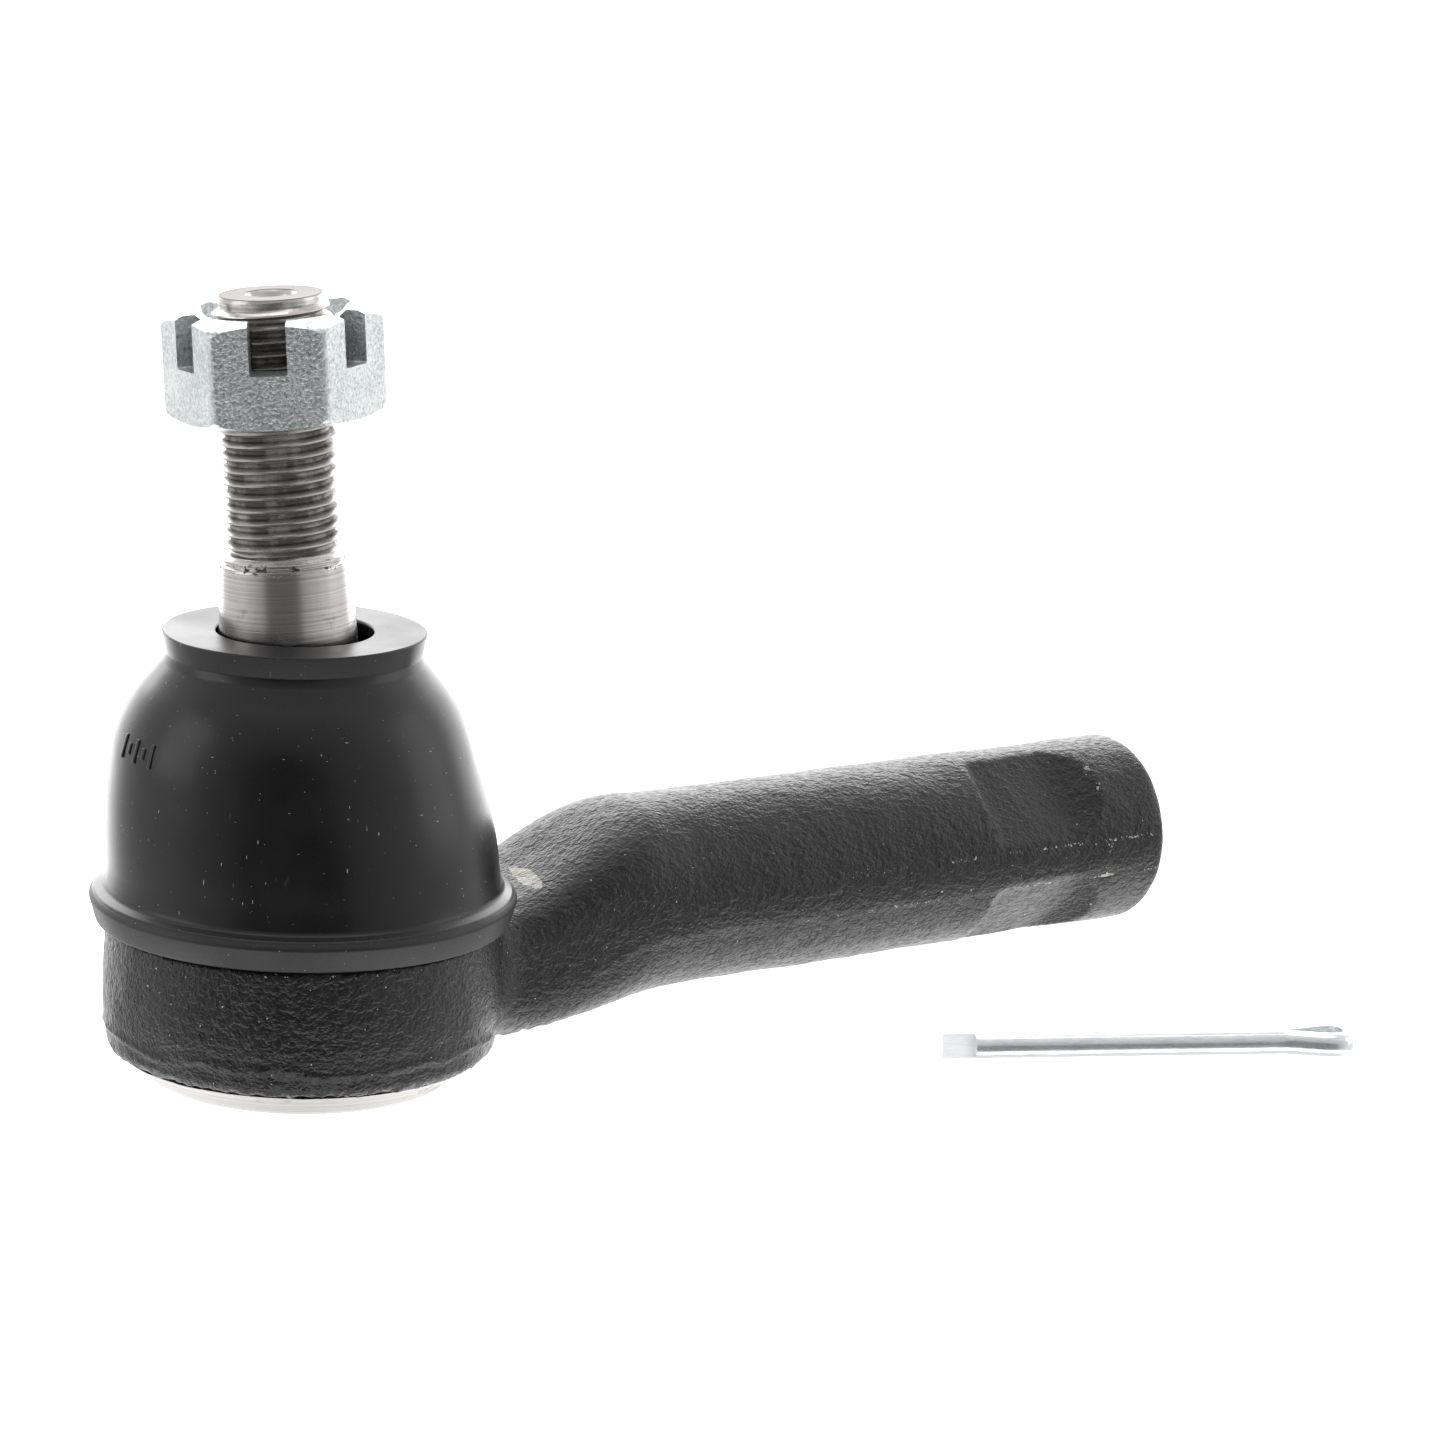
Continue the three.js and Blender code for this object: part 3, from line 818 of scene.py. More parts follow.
@dataclass(frozen=True)
class SpringSteel:
    """Dark tempered strip steel."""

    light: Colour = (0.16, 0.165, 0.18)
    dark: Colour = (0.07, 0.07, 0.08)

    def material(self) -> Material:
        """The finished steel.

        Returns:
            The material.
        """
        s = Surface("spring_steel")
        s.set(
            base_color=s.blend(s.ramp(s.noise(0.4, 4.0), 0.35, 0.65), self.dark, self.light),
            metallic=0.9,
            roughness=s.ramp(s.noise(1.5, 3.0), 0.3, 0.7, 0.3, 0.45),
        )
        s.relief(s.noise(3.0, 2.0), 0.01)
        return s.material


# ------------------------------------------------------------------ the joint's common sizes


@dataclass(frozen=True)
class Joint:
    """Sizes that more than one sub-assembly is built to, in millimetres."""

    ball_height: float = 14.5
    ball_radius: float = 10.5
    socket_radius: float = 14.1
    housing_radius: float = 19.6
    register_radius: float = 16.5
    shoulder_height: float = 15.4
    lean: float = 3.8
    lean_turn: float = 150.5

    @property
    def lean_direction(self) -> Vector:
        """The level direction that the stud leans in."""
        turn = math.radians(self.lean_turn)
        return Vector((math.cos(turn), math.sin(turn), 0))

    @property
    def stud_place(self) -> Matrix:
        """The stud's own frame: at the ball's centre, its Z leaning a little.

        Returns:
            The placement.
        """
        axis = Vector((0, 0, 1)).cross(self.lean_direction).normalized()
        turn = Matrix.Rotation(math.radians(self.lean), 4, axis)
        return Matrix.Translation((0, 0, self.ball_height)) @ turn


def smoothstep(value: float, low: float, high: float) -> float:
    """0 below low, 1 above high, and a smooth step between."""
    t = min(max((value - low) / (high - low), 0.0), 1.0)
    return t * t * (3 - 2 * t)


def mix(a: float, b: float, share: float) -> float:
    """a where share is 0, b where it is 1."""
    return a + (b - a) * share


# ------------------------------------------------------------------ housing, arm and shank


@dataclass
class ForgedHousing:
    """The forging: ball housing, bent arm and shank in one, with its machined faces."""

    joint: Joint
    shank_end: float
    top_height: float = 21.3
    rim_height: float = 2.6
    rim_foot_radius: float = 15.0
    rim_top_radius: float = 18.2
    rim_hole_radius: float = 13.4
    cover_radius: float = 15.5
    ledge_height: float = 3.2
    lip_thickness: float = 0.9
    shank_height: float = 13.4
    shank_radius: float = 10.05
    end_round: float = 1.4
    arm_foot: float = 19.0
    arm_head: float = 38.0
    arm_foot_height: float = 9.0
    arm_foot_top: float = 15.9
    arm_foot_bottom: float = 2.2
    arm_foot_half_width: float = 10.0
    arm_squareness: float = 3.8
    arm_fillet: float = 5.0
    band_height: float = 12.85
    band_half: float = 2.1
    band_rise: float = 0.15
    flat_start: float = 78.7
    flat_end: float = 93.3
    flat_across: float = 17.1
    bore_radius: float = 6.3
    bore_pitch: float = 1.5
    bore_depth: float = 38.0
    drill_depth: float = 42.0
    seam_height: float = 5.3
    seam_rise: float = 0.2
    seam_step: float = 0.13
    voxel: float = 0.36
    bar_segments: int = 160
    bar_step: float = 0.9

    def body_mesh(self) -> BMesh:
        """The round ball housing as forged, before machining.

        Returns:
            The mesh.
        """
        radius = self.joint.housing_radius
        outline = [
            (0, self.rim_height),
            (radius - 1.1, self.rim_height),
            (radius - 0.35, self.rim_height + 0.75, 0.5),
            (radius, 7.6, 2.0),
            (radius, 10.1, 2.0),
            (radius - 0.4, self.joint.shoulder_height, 0.35),
            (self.joint.register_radius, self.joint.shoulder_height),
            (self.joint.register_radius, self.joint.shoulder_height + 3.6),
            (self.joint.register_radius - 1.9, self.top_height),
            (0, self.top_height),
        ]
        return lathe(fillet(outline, closed=False), closed=False)

    def half_width(self, x: float, share: float) -> float:
        """The arm's half width at x, flaring into the housing with a round fillet.

        Args:
            x: The place along the bar, in millimetres.
            share: How far along the arm it is.

        Returns:
            The amount.
        """
        straight = mix(self.arm_foot_half_width, self.shank_radius, share)
        reach_out = self.joint.housing_radius + self.arm_fillet
        centre = math.sqrt(reach_out**2 - (self.arm_foot_half_width + self.arm_fillet) ** 2)
        reach = min(max(centre - x, 0.0), self.arm_fillet * 0.8)
        return straight + self.arm_fillet - math.sqrt(self.arm_fillet**2 - reach**2)

    def bend(self, vert: BMVert) -> None:
        """Moves a vertex of the round bar to the arm's and shank's real section.

        Args:
            vert: The vertex that is moved.
        """
        x, y, z = vert.co
        share = smoothstep(x, self.arm_foot, self.arm_head)
        angle = math.atan2(z, y)
        size = math.hypot(y, z) / self.shank_radius
        power = 2 / mix(self.arm_squareness, 2.0, smoothstep(x, self.arm_foot + 4, self.arm_head + 5))
        across = math.copysign(abs(math.cos(angle)) ** power, math.cos(angle))
        up = math.copysign(abs(math.sin(angle)) ** power, math.sin(angle))
        centre = mix(self.arm_foot_height, self.shank_height, share)
        top = mix(self.arm_foot_top, self.shank_height + self.shank_radius, share)
        bottom = mix(self.arm_foot_bottom, self.shank_height - self.shank_radius, share)
        half_height = top - centre if up > 0 else centre - bottom
        vert.co.y = size * self.half_width(x, share) * across
        vert.co.z = centre + size * half_height * up
        self.raise_band(vert, share, size)

    def raise_band(self, vert: BMVert, share: float, size: float) -> None:
        """Lifts the trimmed flash into a narrow land along each side.

        Args:
            vert: A bent vertex of the bar.
            share: How far it is from the arm's foot to its head.
            size: Its distance from the bar's axis, 1 on the skin.
        """
        x = vert.co.x
        low = mix(5.6, self.band_height - self.band_half, smoothstep(x, 19, 37))
        low = mix(low, self.band_height - 1.45, smoothstep(x, 70, 90))
        high = mix(low + 3.2, self.band_height + self.band_half, smoothstep(x, 24, 40))
        high = mix(high, self.band_height + 1.55, smoothstep(x, 70, 90))
        wave = 0.25 * noise.noise(Vector((x * 0.12, 0, math.copysign(3, vert.co.y))))
        inside = smoothstep(vert.co.z, low + wave - 0.35, low + wave + 0.35)
        inside *= 1 - smoothstep(vert.co.z, high + wave - 0.35, high + wave + 0.35)
        inside *= 1 - smoothstep(x, self.flat_end, self.shank_end - 1)
        rise = self.band_rise * inside * size * mix(0.6, 1.0, share)
        vert.co.y += math.copysign(rise, vert.co.y)

    def bar_mesh(self) -> BMesh:
        """Arm and shank as one bar, extruded ring by ring and then bent.

        Returns:
            The mesh.
        """
        bm = bmesh.new()
        start = self.joint.socket_radius + 1
        made = bmesh.ops.create_circle(
            bm, cap_ends=True, radius=self.shank_radius, segments=self.bar_segments
        )
        turn = Matrix.Translation((start, 0, 0)) @ Matrix.Rotation(math.pi / 2, 4, "Y")
        bmesh.ops.transform(bm, matrix=turn, verts=made["verts"])
        straight = self.shank_end - self.end_round
        count = math.ceil((straight - start) / self.bar_step)
        stations = [(start + (straight - start) * (i + 1) / count, 1.0) for i in range(count)]
        for angle in (22.5, 45.0, 67.5, 90.0):
            turn_share = math.radians(angle)
            radius = self.shank_radius - self.end_round * (1 - math.cos(turn_share))
            stations.append((straight + self.end_round * math.sin(turn_share), radius / self.shank_radius))
        face = bm.faces[:][0]
        for i, (x, scale) in enumerate(stations):
            face = carry(bm, face, is_cap=i == 0)
            for vert in face.verts:
                ring = Vector((vert.co.y, vert.co.z)).normalized() * self.shank_radius * scale
                vert.co = (x, ring.x, ring.y)
        for vert in bm.verts:
            self.bend(vert)
        return tidy(bm)

    def pocket_mesh(self) -> BMesh:
        """Room round the boot's flange, which the arm keeps clear of.

        Returns:
            The mesh.
        """
        outer = self.joint.housing_radius + 2.0
        low = self.joint.shoulder_height
        inner = self.joint.register_radius
        return lathe([(inner, low), (outer, low), (outer, low + 12), (inner, low + 12)])

    def flat_tool(self, turn: float) -> BMesh:
        """The tool that presses one wrench flat: a step, a level floor and a scooped far end.

        Args:
            turn: The turn about the axis, in degrees.

        Returns:
            The mesh.
        """
        half = self.flat_across / 2
        bm = bmesh.new()
        corners = [
            (self.flat_start - 1.5, half + 3.4),
            (self.flat_start, half + 0.1),
            (self.flat_start + 1.0, half),
            (self.flat_end - 5.0, half - 0.15),
            (self.flat_end - 3.4, half + 0.05),
            (self.flat_end - 1.6, half + 0.65),
            (self.flat_end, half + 1.35),
            (self.flat_end + 0.4, half + 3.4),
        ]
        verts = [bm.verts.new((x, -self.shank_radius * 1.2, z)) for x, z in corners]
        face = bm.faces.new(verts)
        grown = bmesh.ops.extrude_face_region(bm, geom=[face])["geom"]
        width = (0, self.shank_radius * 2.4, 0)
        bmesh.ops.translate(bm, vec=width, verts=[g for g in grown if isinstance(g, BMVert)])
        place = Matrix.Translation((0, 0, self.shank_height)) @ Matrix.Rotation(math.radians(turn), 4, "X")
        bmesh.ops.transform(bm, matrix=place, verts=bm.verts)
        return tidy(bm)

    def socket_tool(self) -> BMesh:
        """The bore that the cover, the seats and the ball go into.

        Returns:
            The mesh.
        """
        mouth = 11.33
        return lathe(
            [
                (0, -1),
                (self.cover_radius, -1),
                (self.cover_radius, self.ledge_height),
                (self.joint.socket_radius, self.ledge_height),
                (self.joint.socket_radius, 17.44),
                (mouth, 20.44),
                (mouth + 1.2, self.top_height + 1),
                (0, self.top_height + 1),
            ],
            closed=False,
        )

    def bore_tool(self) -> BMesh:
        """The shank's female thread with its mouth chamfer and drilled end.

        Returns:
            The mesh.
        """
        crest = self.bore_radius + 0.45
        bm = threaded_tube(
            self.bore_radius - 0.1,
            crest,
            self.bore_pitch,
            self.drill_depth - self.bore_depth,
            self.drill_depth - 0.9,
            lambda height: crest,
        )
        low = self.drill_depth - self.bore_depth
        high = self.drill_depth - 0.9
        inner = self.bore_radius - 0.15
        extend(bm, rim(bm, low), [(inner, low), (inner, low - 0.5), (0.0, 0.0)])
        mouth = [(crest + 0.1, high), (crest + 1.05, self.drill_depth), (crest + 1.05, self.drill_depth + 1)]
        extend(bm, rim(bm, high), [*mouth, (0.0, self.drill_depth + 1)])
        place = Matrix.Translation((self.shank_end - self.drill_depth, 0, self.shank_height))
        bmesh.ops.transform(bm, matrix=place @ Matrix.Rotation(math.pi / 2, 4, "Y"), verts=bm.verts)
        return tidy(bm)

    def forged_share(self, co: Vector) -> float:
        """1 on the forging's skin, 0 where a tool cuts it later.

        Args:
            co: A point of the skin, in millimetres.

        Returns:
            The amount.
        """
        radius = math.hypot(co.x, co.y)
        if co.x < self.arm_foot:
            return smoothstep(radius, 17.2, 18.0) * (1 - smoothstep(co.z, 15.0, 15.4))
        return 1 - smoothstep(co.x, self.shank_end - 0.6, self.shank_end - 0.1)

    def seam(self, co: Vector) -> float:
        """How far the trimmed flash stands out, as a wavy ridge round the ball housing.

        Args:
            co: A point of the skin, in millimetres.

        Returns:
            The amount.
        """
        turn = math.atan2(co.y, co.x)
        wave = noise.noise(Vector((3.4 * math.cos(turn), 3.4 * math.sin(turn), 0.7)))
        ripple = noise.noise(Vector((7 * math.cos(turn), 7 * math.sin(turn), 5.1)))
        above = co.z - self.seam_height - 0.8 * wave - 0.25 * ripple
        ridge = math.exp(-((above / 0.3) ** 2)) * (0.75 + ripple)
        step = 1 - smoothstep(above, -0.5, 0.1)
        return (self.seam_rise * ridge - self.seam_step * step) * smoothstep(19.8 - co.x, 0, 4)

    def roughen(self, bm: BMesh) -> None:
        """Gives the skin the dents and wrinkles of a forging, and a ragged lower edge."""
        bm.normal_update()
        moves: list[tuple[BMVert, Vector]] = []
        for vert in bm.verts:
            co = vert.co
            dents = noise.noise(co / 6.5) * 0.13 + noise.noise(co / 2.6 + Vector((9, 0, 0))) * 0.055
            warped = co + noise.noise_vector(co / 2.2) * 0.8
            wrinkle = noise.noise(Vector((warped.x / 1.5, warped.y / 1.5, warped.z / 2.2)))
            amount = (dents + 0.03 * wrinkle + self.seam(co)) * self.forged_share(co)
            ragged = 0.3 * noise.noise(co * 1.3) * (1 - smoothstep(co.z, 2.8, 3.8)) * self.forged_share(co)
            moves.append((vert, vert.normal * amount + Vector((0, 0, ragged))))
        for vert, move in moves:
            vert.co += move

    def lip_mesh(self) -> BMesh:
        """The machined lip, rolled in over the cover plate.

        Returns:
            The mesh.
        """
        outline = [
            (self.rim_foot_radius, 0.0, 0.45),
            (self.rim_top_radius, self.rim_height - 0.02),
            (self.cover_radius + 0.02, self.rim_height - 0.02),
            (self.cover_radius + 0.02, self.lip_thickness),
            (self.rim_hole_radius, self.lip_thickness, 0.2),
            (self.rim_hole_radius, 0.0, 0.35),
        ]
        return lathe(fillet(outline))

    def build(self) -> None:
        """Makes the forging and its bare lip."""
        forging = working_object(self.body_mesh())
        combine(forging, self.bar_mesh(), Cut.JOIN)
        combine(forging, self.pocket_mesh(), Cut.REMOVE)
        for turn in (45, 135, 225, 315):
            combine(forging, self.flat_tool(turn), Cut.REMOVE)
        remesh = forging.modifiers.new("skin", "REMESH")
        remesh.mode = "VOXEL"
        remesh.voxel_size = self.voxel
        relax = forging.modifiers.new("relax", "SMOOTH")
        relax.factor = 0.5
        relax.iterations = 3
        apply_modifiers(forging)
        bm = take_mesh(forging)
        self.roughen(bm)
        forging = working_object(bm)
        combine(forging, self.socket_tool(), Cut.REMOVE)
        combine(forging, self.bore_tool(), Cut.REMOVE)
        skin = Piece("housing_forging", "housing", "forging", ("housing",), crease=50.0)
        skin.make(take_mesh(forging), ForgedCoat().material())
        bare = TurnedSteel(
            name="bare_lip",
            bright=(0.56, 0.55, 0.53),
            dull=(0.38, 0.37, 0.36),
            shine=0.3,
            satin=0.22,
            mark_size=0.22,
            coat_above=self.rim_height,
        )
        Piece("rolled_lip", "housing", "bare_steel").make(self.lip_mesh(), bare.material())


@dataclass
class SocketInternals:
    """What the housing holds under and round the ball."""

    joint: Joint
    cover_edge: float = 15.4
    cover_bottom: float = 1.0
    cover_top: float = 3.1
    cover_thickness: float = 2.1
    pad_radius: float = 8.5
    dish_radius: float = 10.5
    spring_inner: float = 6.2
    spring_rise: float = 0.8
    spring_thickness: float = 0.7
    seat_inner: float = 10.65
    seat_outer: float = 14.0
    seat_bottom: float = 4.7
    seat_hole: float = 5.6
    seat_shoulder: float = 17.34
    seat_mouth: float = 20.34
    mouth_angle: float = 58.0
    ring_inner: float = 16.55
    ring_wall: float = 1.2
    ring_foot: float = 1.5
    ring_foot_thickness: float = 1.05
    ring_height: float = 3.1
    ring_bottom: float = 15.65

    def cover_mesh(self) -> BMesh:
        """The pressed cover plate, with its pad standing down level with the lip.

        Returns:
            The mesh.
        """
        outline = [
            (0, 0),
            (self.pad_radius, 0, 0.7),
            (self.dish_radius, self.cover_bottom, 0.7),
            (self.cover_edge, self.cover_bottom, 0.25),
            (self.cover_edge, self.cover_top, 0.25),
            (self.dish_radius, self.cover_top, 0.7),
            (self.pad_radius, self.cover_thickness, 0.7),
            (0, self.cover_thickness),
        ]
        return lathe(fillet(outline, closed=False), closed=False)

    def spring_mesh(self) -> BMesh:
        """The conical disc spring.

        Returns:
            The mesh.
        """
        outer = self.joint.socket_radius - 1
        low = self.cover_top + 0.05
        outline = [
            (self.spring_inner, self.cover_top + self.spring_rise, 0.15),
            (outer, low, 0.15),
            (outer, low + self.spring_thickness, 0.15),
            (self.spring_inner, self.cover_top + self.spring_rise + self.spring_thickness, 0.15),
        ]
        return lathe(fillet(outline, steps=3))

    def seat_mesh(self, seat: Seat) -> BMesh:
        """One half of the bearing round the ball.

        Args:
            seat: Which half.

        Returns:
            The mesh.
        """
        centre = (0.0, self.joint.ball_height)
        if seat is Seat.LOWER:
            hole = math.degrees(math.acos(self.seat_hole / self.seat_inner))
            outline = [
                *arc(centre, self.seat_inner, -hole, -1.5, 24),
                (self.seat_outer, self.joint.ball_height - 0.3, 0.3),
                (self.seat_outer, self.seat_bottom + 1),
                (self.seat_outer - 1, self.seat_bottom),
                (self.seat_hole, self.seat_bottom),
            ]
        else:
            outline = [
                (self.seat_outer, self.joint.ball_height, 0.3),
                (self.seat_outer, self.seat_shoulder),
                (11.23, self.seat_mouth),
                *arc(centre, self.seat_inner, 90 - self.mouth_angle, 0, 24),
            ]
        return lathe(fillet(outline, steps=3))

    def ring_mesh(self) -> BMesh:
        """The steel insert in the boot's flange.

        Returns:
            The mesh.
        """
        low, inner = self.ring_bottom, self.ring_inner
        foot = inner + self.ring_wall + self.ring_foot
        outline = [
            (inner, low, 0.2),
            (foot, low, 0.2),
            (foot, low + self.ring_foot_thickness, 0.2),
            (inner + self.ring_wall, low + self.ring_foot_thickness, 0.3),
            (inner + self.ring_wall, low + self.ring_height, 0.2),
            (inner, low + self.ring_height, 0.2),
        ]
        return lathe(fillet(outline, steps=3))

    def build(self) -> None:
        """Makes the cover, the spring, both seats and the boot's insert."""
        pressed = TurnedSteel(name="pressed_steel", mark_size=0.5, mark_depth=0.012).material()
        strip = SpringSteel().material()
        polymer = MouldedPolymer().material()
        Piece("cover_disc", "housing", "bare_steel", ("cover_plate",)).make(self.cover_mesh(), pressed)
        Piece("disc_spring", "housing", "spring_steel", ("preload_spring",)).make(self.spring_mesh(), strip)
        halves = ((Seat.LOWER, "lower_seat", "seat_cup"), (Seat.UPPER, "housing", "seat_ring"))
        for seat, body, name in halves:
            Piece(name, body, "polymer", (seat.value,)).make(self.seat_mesh(seat), polymer)
        Piece("boot_insert", "housing", "spring_steel", ("boot_base_ring",)).make(self.ring_mesh(), strip)


# ------------------------------------------------------------------ boot


@dataclass
class DustBoot:
    """The rubber boot: a flange on the housing, a full bell and a thick neck round the stud."""

    joint: Joint
    flange_bottom: float = 15.65
    flange_top: float = 18.65
    flange_radius: float = 21.0
    height: float = 44.4
    hole_radius: float = 7.65
    lip_height: float = 6.0
    neck_shift: float = 1.3
    segments: int = 224
    mark_turn: float = 172.0
    mark_height: float = 34.0
    mark_radius: float = 16.95

    def outline(self) -> list[Corner]:
        """The boot's section, from under the flange, up the outside and down the inside."""
        low, top = self.flange_bottom, self.flange_top
        bell = [(19.22, 21.0), (19.08, 24.0), (18.7, 27.2), (18.1, 30.3), (17.4, 33.5), (16.45, 36.2)]
        bell += [(15.2, 38.4), (13.75, 40.2), (12.7, 41.5)]
        return [
            (19.3, low),
            (self.flange_radius - 0.7, low, 0.3),
            (self.flange_radius, low + 2.4, 0.5),
            (self.flange_radius - 0.55, top + 0.05, 0.5),
            (19.5, top + 0.5, 0.7),
            *smooth_through(bell, 6),
            (12.45, 42.2, 0.4),
            (12.85, self.height - 0.12, 0.1),
            (12.72, self.height, 0.06),
            (self.hole_radius, self.height, 0.3),
            (self.hole_radius, self.height - self.lip_height, 0.3),
            (11.1, self.height - self.lip_height + 0.3, 1.0),
            (13.7, 36.6, 1.5),
            (15.4, 33.5, 2.0),
            (16.9, 27.5, 3.0),
            (17.2, 22.6, 2.0),
            (17.05, self.flange_bottom + 4.4, 0.4),
            (16.65, self.flange_bottom + 3.15),
            (17.8, self.flange_bottom + 3.15),
            (17.8, self.flange_bottom + 1.1, 0.5),
            (19.3, self.flange_bottom + 1.1),
        ]

    def shift(self, height: float) -> Vector:
        """How far the boot stands sideways at a height, to follow the stud."""
        return self.joint.lean_direction * self.neck_shift * smoothstep(height, self.flange_top, 35.5)

    def shell_mesh(self) -> BMesh:
        """The boot, turned, lightly out of round and shifted to the stud.

        Returns:
            The mesh.
        """
        bm = lathe(fillet(self.outline(), steps=5), steps=self.segments)
        for vert in bm.verts:
            soft = smoothstep(vert.co.z, 20, 26) * (1 - 0.6 * smoothstep(vert.co.z, 40, 43))
            swell = 0.07 * noise.noise(Vector((vert.co.x, vert.co.y, vert.co.z)) / 14) * soft
            sag = 0.05 * noise.noise(vert.co / 5) * smoothstep(vert.co.z, 42, 44)
            scale = 1 + swell / 18
            vert.co = Vector((vert.co.x * scale, vert.co.y * scale, vert.co.z + sag)) + self.shift(vert.co.z)
        return tidy(bm)

    def bar_mesh(self, turn: float, width: float, tall: float) -> BMesh:
        """One raised bar with eased edges, sunk a little into the shoulder."""
        bm = bmesh.new()
        bmesh.ops.create_cube(bm, size=1.0)
        bmesh.ops.scale(bm, vec=(0.9, width, tall), verts=bm.verts)
        bmesh.ops.bevel(
            bm, geom=bm.edges[:], offset=0.14, segments=3, profile=0.5, affect="EDGES", material=-1
        )
        place = (
            Matrix.Translation(self.shift(self.mark_height))
            @ Matrix.Rotation(math.radians(turn), 4, "Z")
            @ Matrix.Translation((self.mark_radius, 0, self.mark_height))
            @ Matrix.Rotation(math.radians(-16), 4, "Y")
        )
        bmesh.ops.transform(bm, matrix=place, verts=bm.verts)
        return tidy(bm)

    def mark_mesh(self) -> BMesh:
        """Plain bars of two lengths moulded in a row on the shoulder.

        Returns:
            The mesh.
        """
        bm = bmesh.new()
        for i, tall in enumerate((2.4, 1.2, 2.4, 1.2, 2.4)):
            bar = self.bar_mesh(self.mark_turn + 4.4 * i, 0.55, tall)
            mesh = bpy.data.meshes.new("bar")
            bar.to_mesh(mesh)
            bar.free()
            bm.from_mesh(mesh)
            bpy.data.meshes.remove(mesh)
        return bm

    def build(self) -> None:
        """Makes the boot, shifted sideways between its flange and its neck to follow the stud, and its raised
        bars.
        """
        rubber = BootRubber().material()
        piece = Piece("boot_shell", "", "boot_rubber", ("dust_boot",))
        shell = piece.make(self.shell_mesh(), rubber)
        marks = Piece("boot_bars", "", "boot_rubber").make(self.mark_mesh(), rubber)
        for obj in (shell, marks):
            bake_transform(obj)


# ------------------------------------------------------------------ stud, nut and pin


@dataclass
class BallStud:
    """The stud in its own frame: ball, neck, taper, relief groove, thread and centre hole."""

    joint: Joint
    neck_radius: float = 5.4
    neck_end: float = 15.0
    taper_start: float = 18.4
    taper_end: float = 36.8
    taper_end_radius: float = 6.27
    taper_slope: float = 1 / 16
    pitch: float = 1.25
    crest_radius: float = 5.76
    root_radius: float = 5.06
    run_out_radius: float = 5.5
    relief_radius: float = 6.0
    thread_start: float = 38.0
    end: float = 62.85
    tip_chamfer: float = 0.8
    tip_slope: float = 0.5
    hole_radius: float = 2.25
    pin_hole_radius: float = 1.6
    pin_hole_from_end: float = 5.0
    pin_hole_turn: float = 28.0

    def limit(self, height: float) -> float:
        """Largest radius left by the tip's chamfer and the thread's run-out.

        Args:
            height: The place along the stud.

        Returns:
            The amount.
        """
        tip = self.crest_radius - self.tip_chamfer + (self.end - height) * self.tip_slope
        run_out = self.run_out_radius + max(height - self.thread_start, 0.0) * 0.7
        return min(tip, run_out, self.crest_radius)

    def lower_stations(self) -> list[Vector]:
        """The turned outline from the thread's start down to the ball's flat.

        Returns:
            The points, in order.
        """
        start_radius = self.taper_end_radius + (self.taper_end - self.taper_start) * self.taper_slope
        radius = self.joint.ball_radius
        neck_angle = math.degrees(math.acos(self.neck_radius / radius))
        flat_angle = -math.degrees(math.acos(5.0 / radius))
        corners = [
            (self.run_out_radius, self.thread_start),
            (self.run_out_radius, self.thread_start - 0.2, 0.1),
            (self.relief_radius, self.thread_start - 0.6, 0.2),
            (self.relief_radius, self.taper_end + 0.3, 0.1),
            (self.relief_radius - 0.1, self.taper_end + 0.15, 0.1),
            (self.taper_end_radius - 0.05, self.taper_end, 0.05),
            (self.taper_end_radius, self.taper_end - 0.2, 0.1),
            (start_radius, self.taper_start, 0.3),
            (self.neck_radius + 0.9, self.neck_end + 2.6, 0.5),
            (self.neck_radius, self.neck_end, 2.0),
            (self.neck_radius - 0.15, self.neck_end - 3, 1.0),
            *arc((0.0, 0.0), radius, neck_angle, flat_angle, 40),
            (0.0, -math.sqrt(radius**2 - 25.0)),
        ]
        return fillet(corners, steps=5, closed=False)[1:]

    def mesh(self) -> BMesh:
        """The whole stud with its cross hole.

        Returns:
            The mesh.
        """
        bm = threaded_tube(
            self.root_radius,
            self.crest_radius,
            self.pitch,
            self.thread_start,
            self.end,
            self.limit,
            steps=128,
        )
        extend(bm, rim(bm, self.thread_start), self.lower_stations())
        top = [
            (self.hole_radius + 0.3, self.end),
            (self.hole_radius, self.end - 0.25),
            (self.hole_radius * 0.9, self.end - 0.7),
            (0.9, self.end - 2.6),
            (0.9, self.end - 3.6),
            (0.0, self.end - 3.9),
        ]
        extend(bm, rim(bm, self.end), top)
        stud = working_object(tidy(bm))
        drill = bmesh.new()
        bmesh.ops.create_cone(
            drill,
            cap_ends=True,
            segments=48,
            radius1=self.pin_hole_radius,
            radius2=self.pin_hole_radius,
            depth=4 * self.crest_radius,
        )
        level = Matrix.Rotation(math.pi / 2, 4, "X")
        turn = Matrix.Rotation(math.radians(self.pin_hole_turn), 4, "Z") @ level
        place = Matrix.Translation((0, 0, self.end - self.pin_hole_from_end)) @ turn
        bmesh.ops.transform(drill, matrix=place, verts=drill.verts)
        combine(stud, drill, Cut.REMOVE)
        return take_mesh(stud)

    def build(self) -> None:
        """Makes the stud in its place."""
        steel = TurnedSteel(
            name="stud_steel",
            mark_size=0.3,
            mark_depth=0.013,
            rust_from=self.taper_end - 0.5,
            rust_to=self.taper_end + 0.9,
            thread_from=self.thread_start,
            thread_to=self.end - 1.7,
            end_face=self.end,
            thread_root=self.root_radius,
            thread_crest=self.crest_radius,
        )
        place = self.joint.stud_place
        piece = Piece("stud", "stud", "bare_steel", ("ball_stud",), crease=28.0)
        piece.make(self.mesh(), steel.material(place), place)


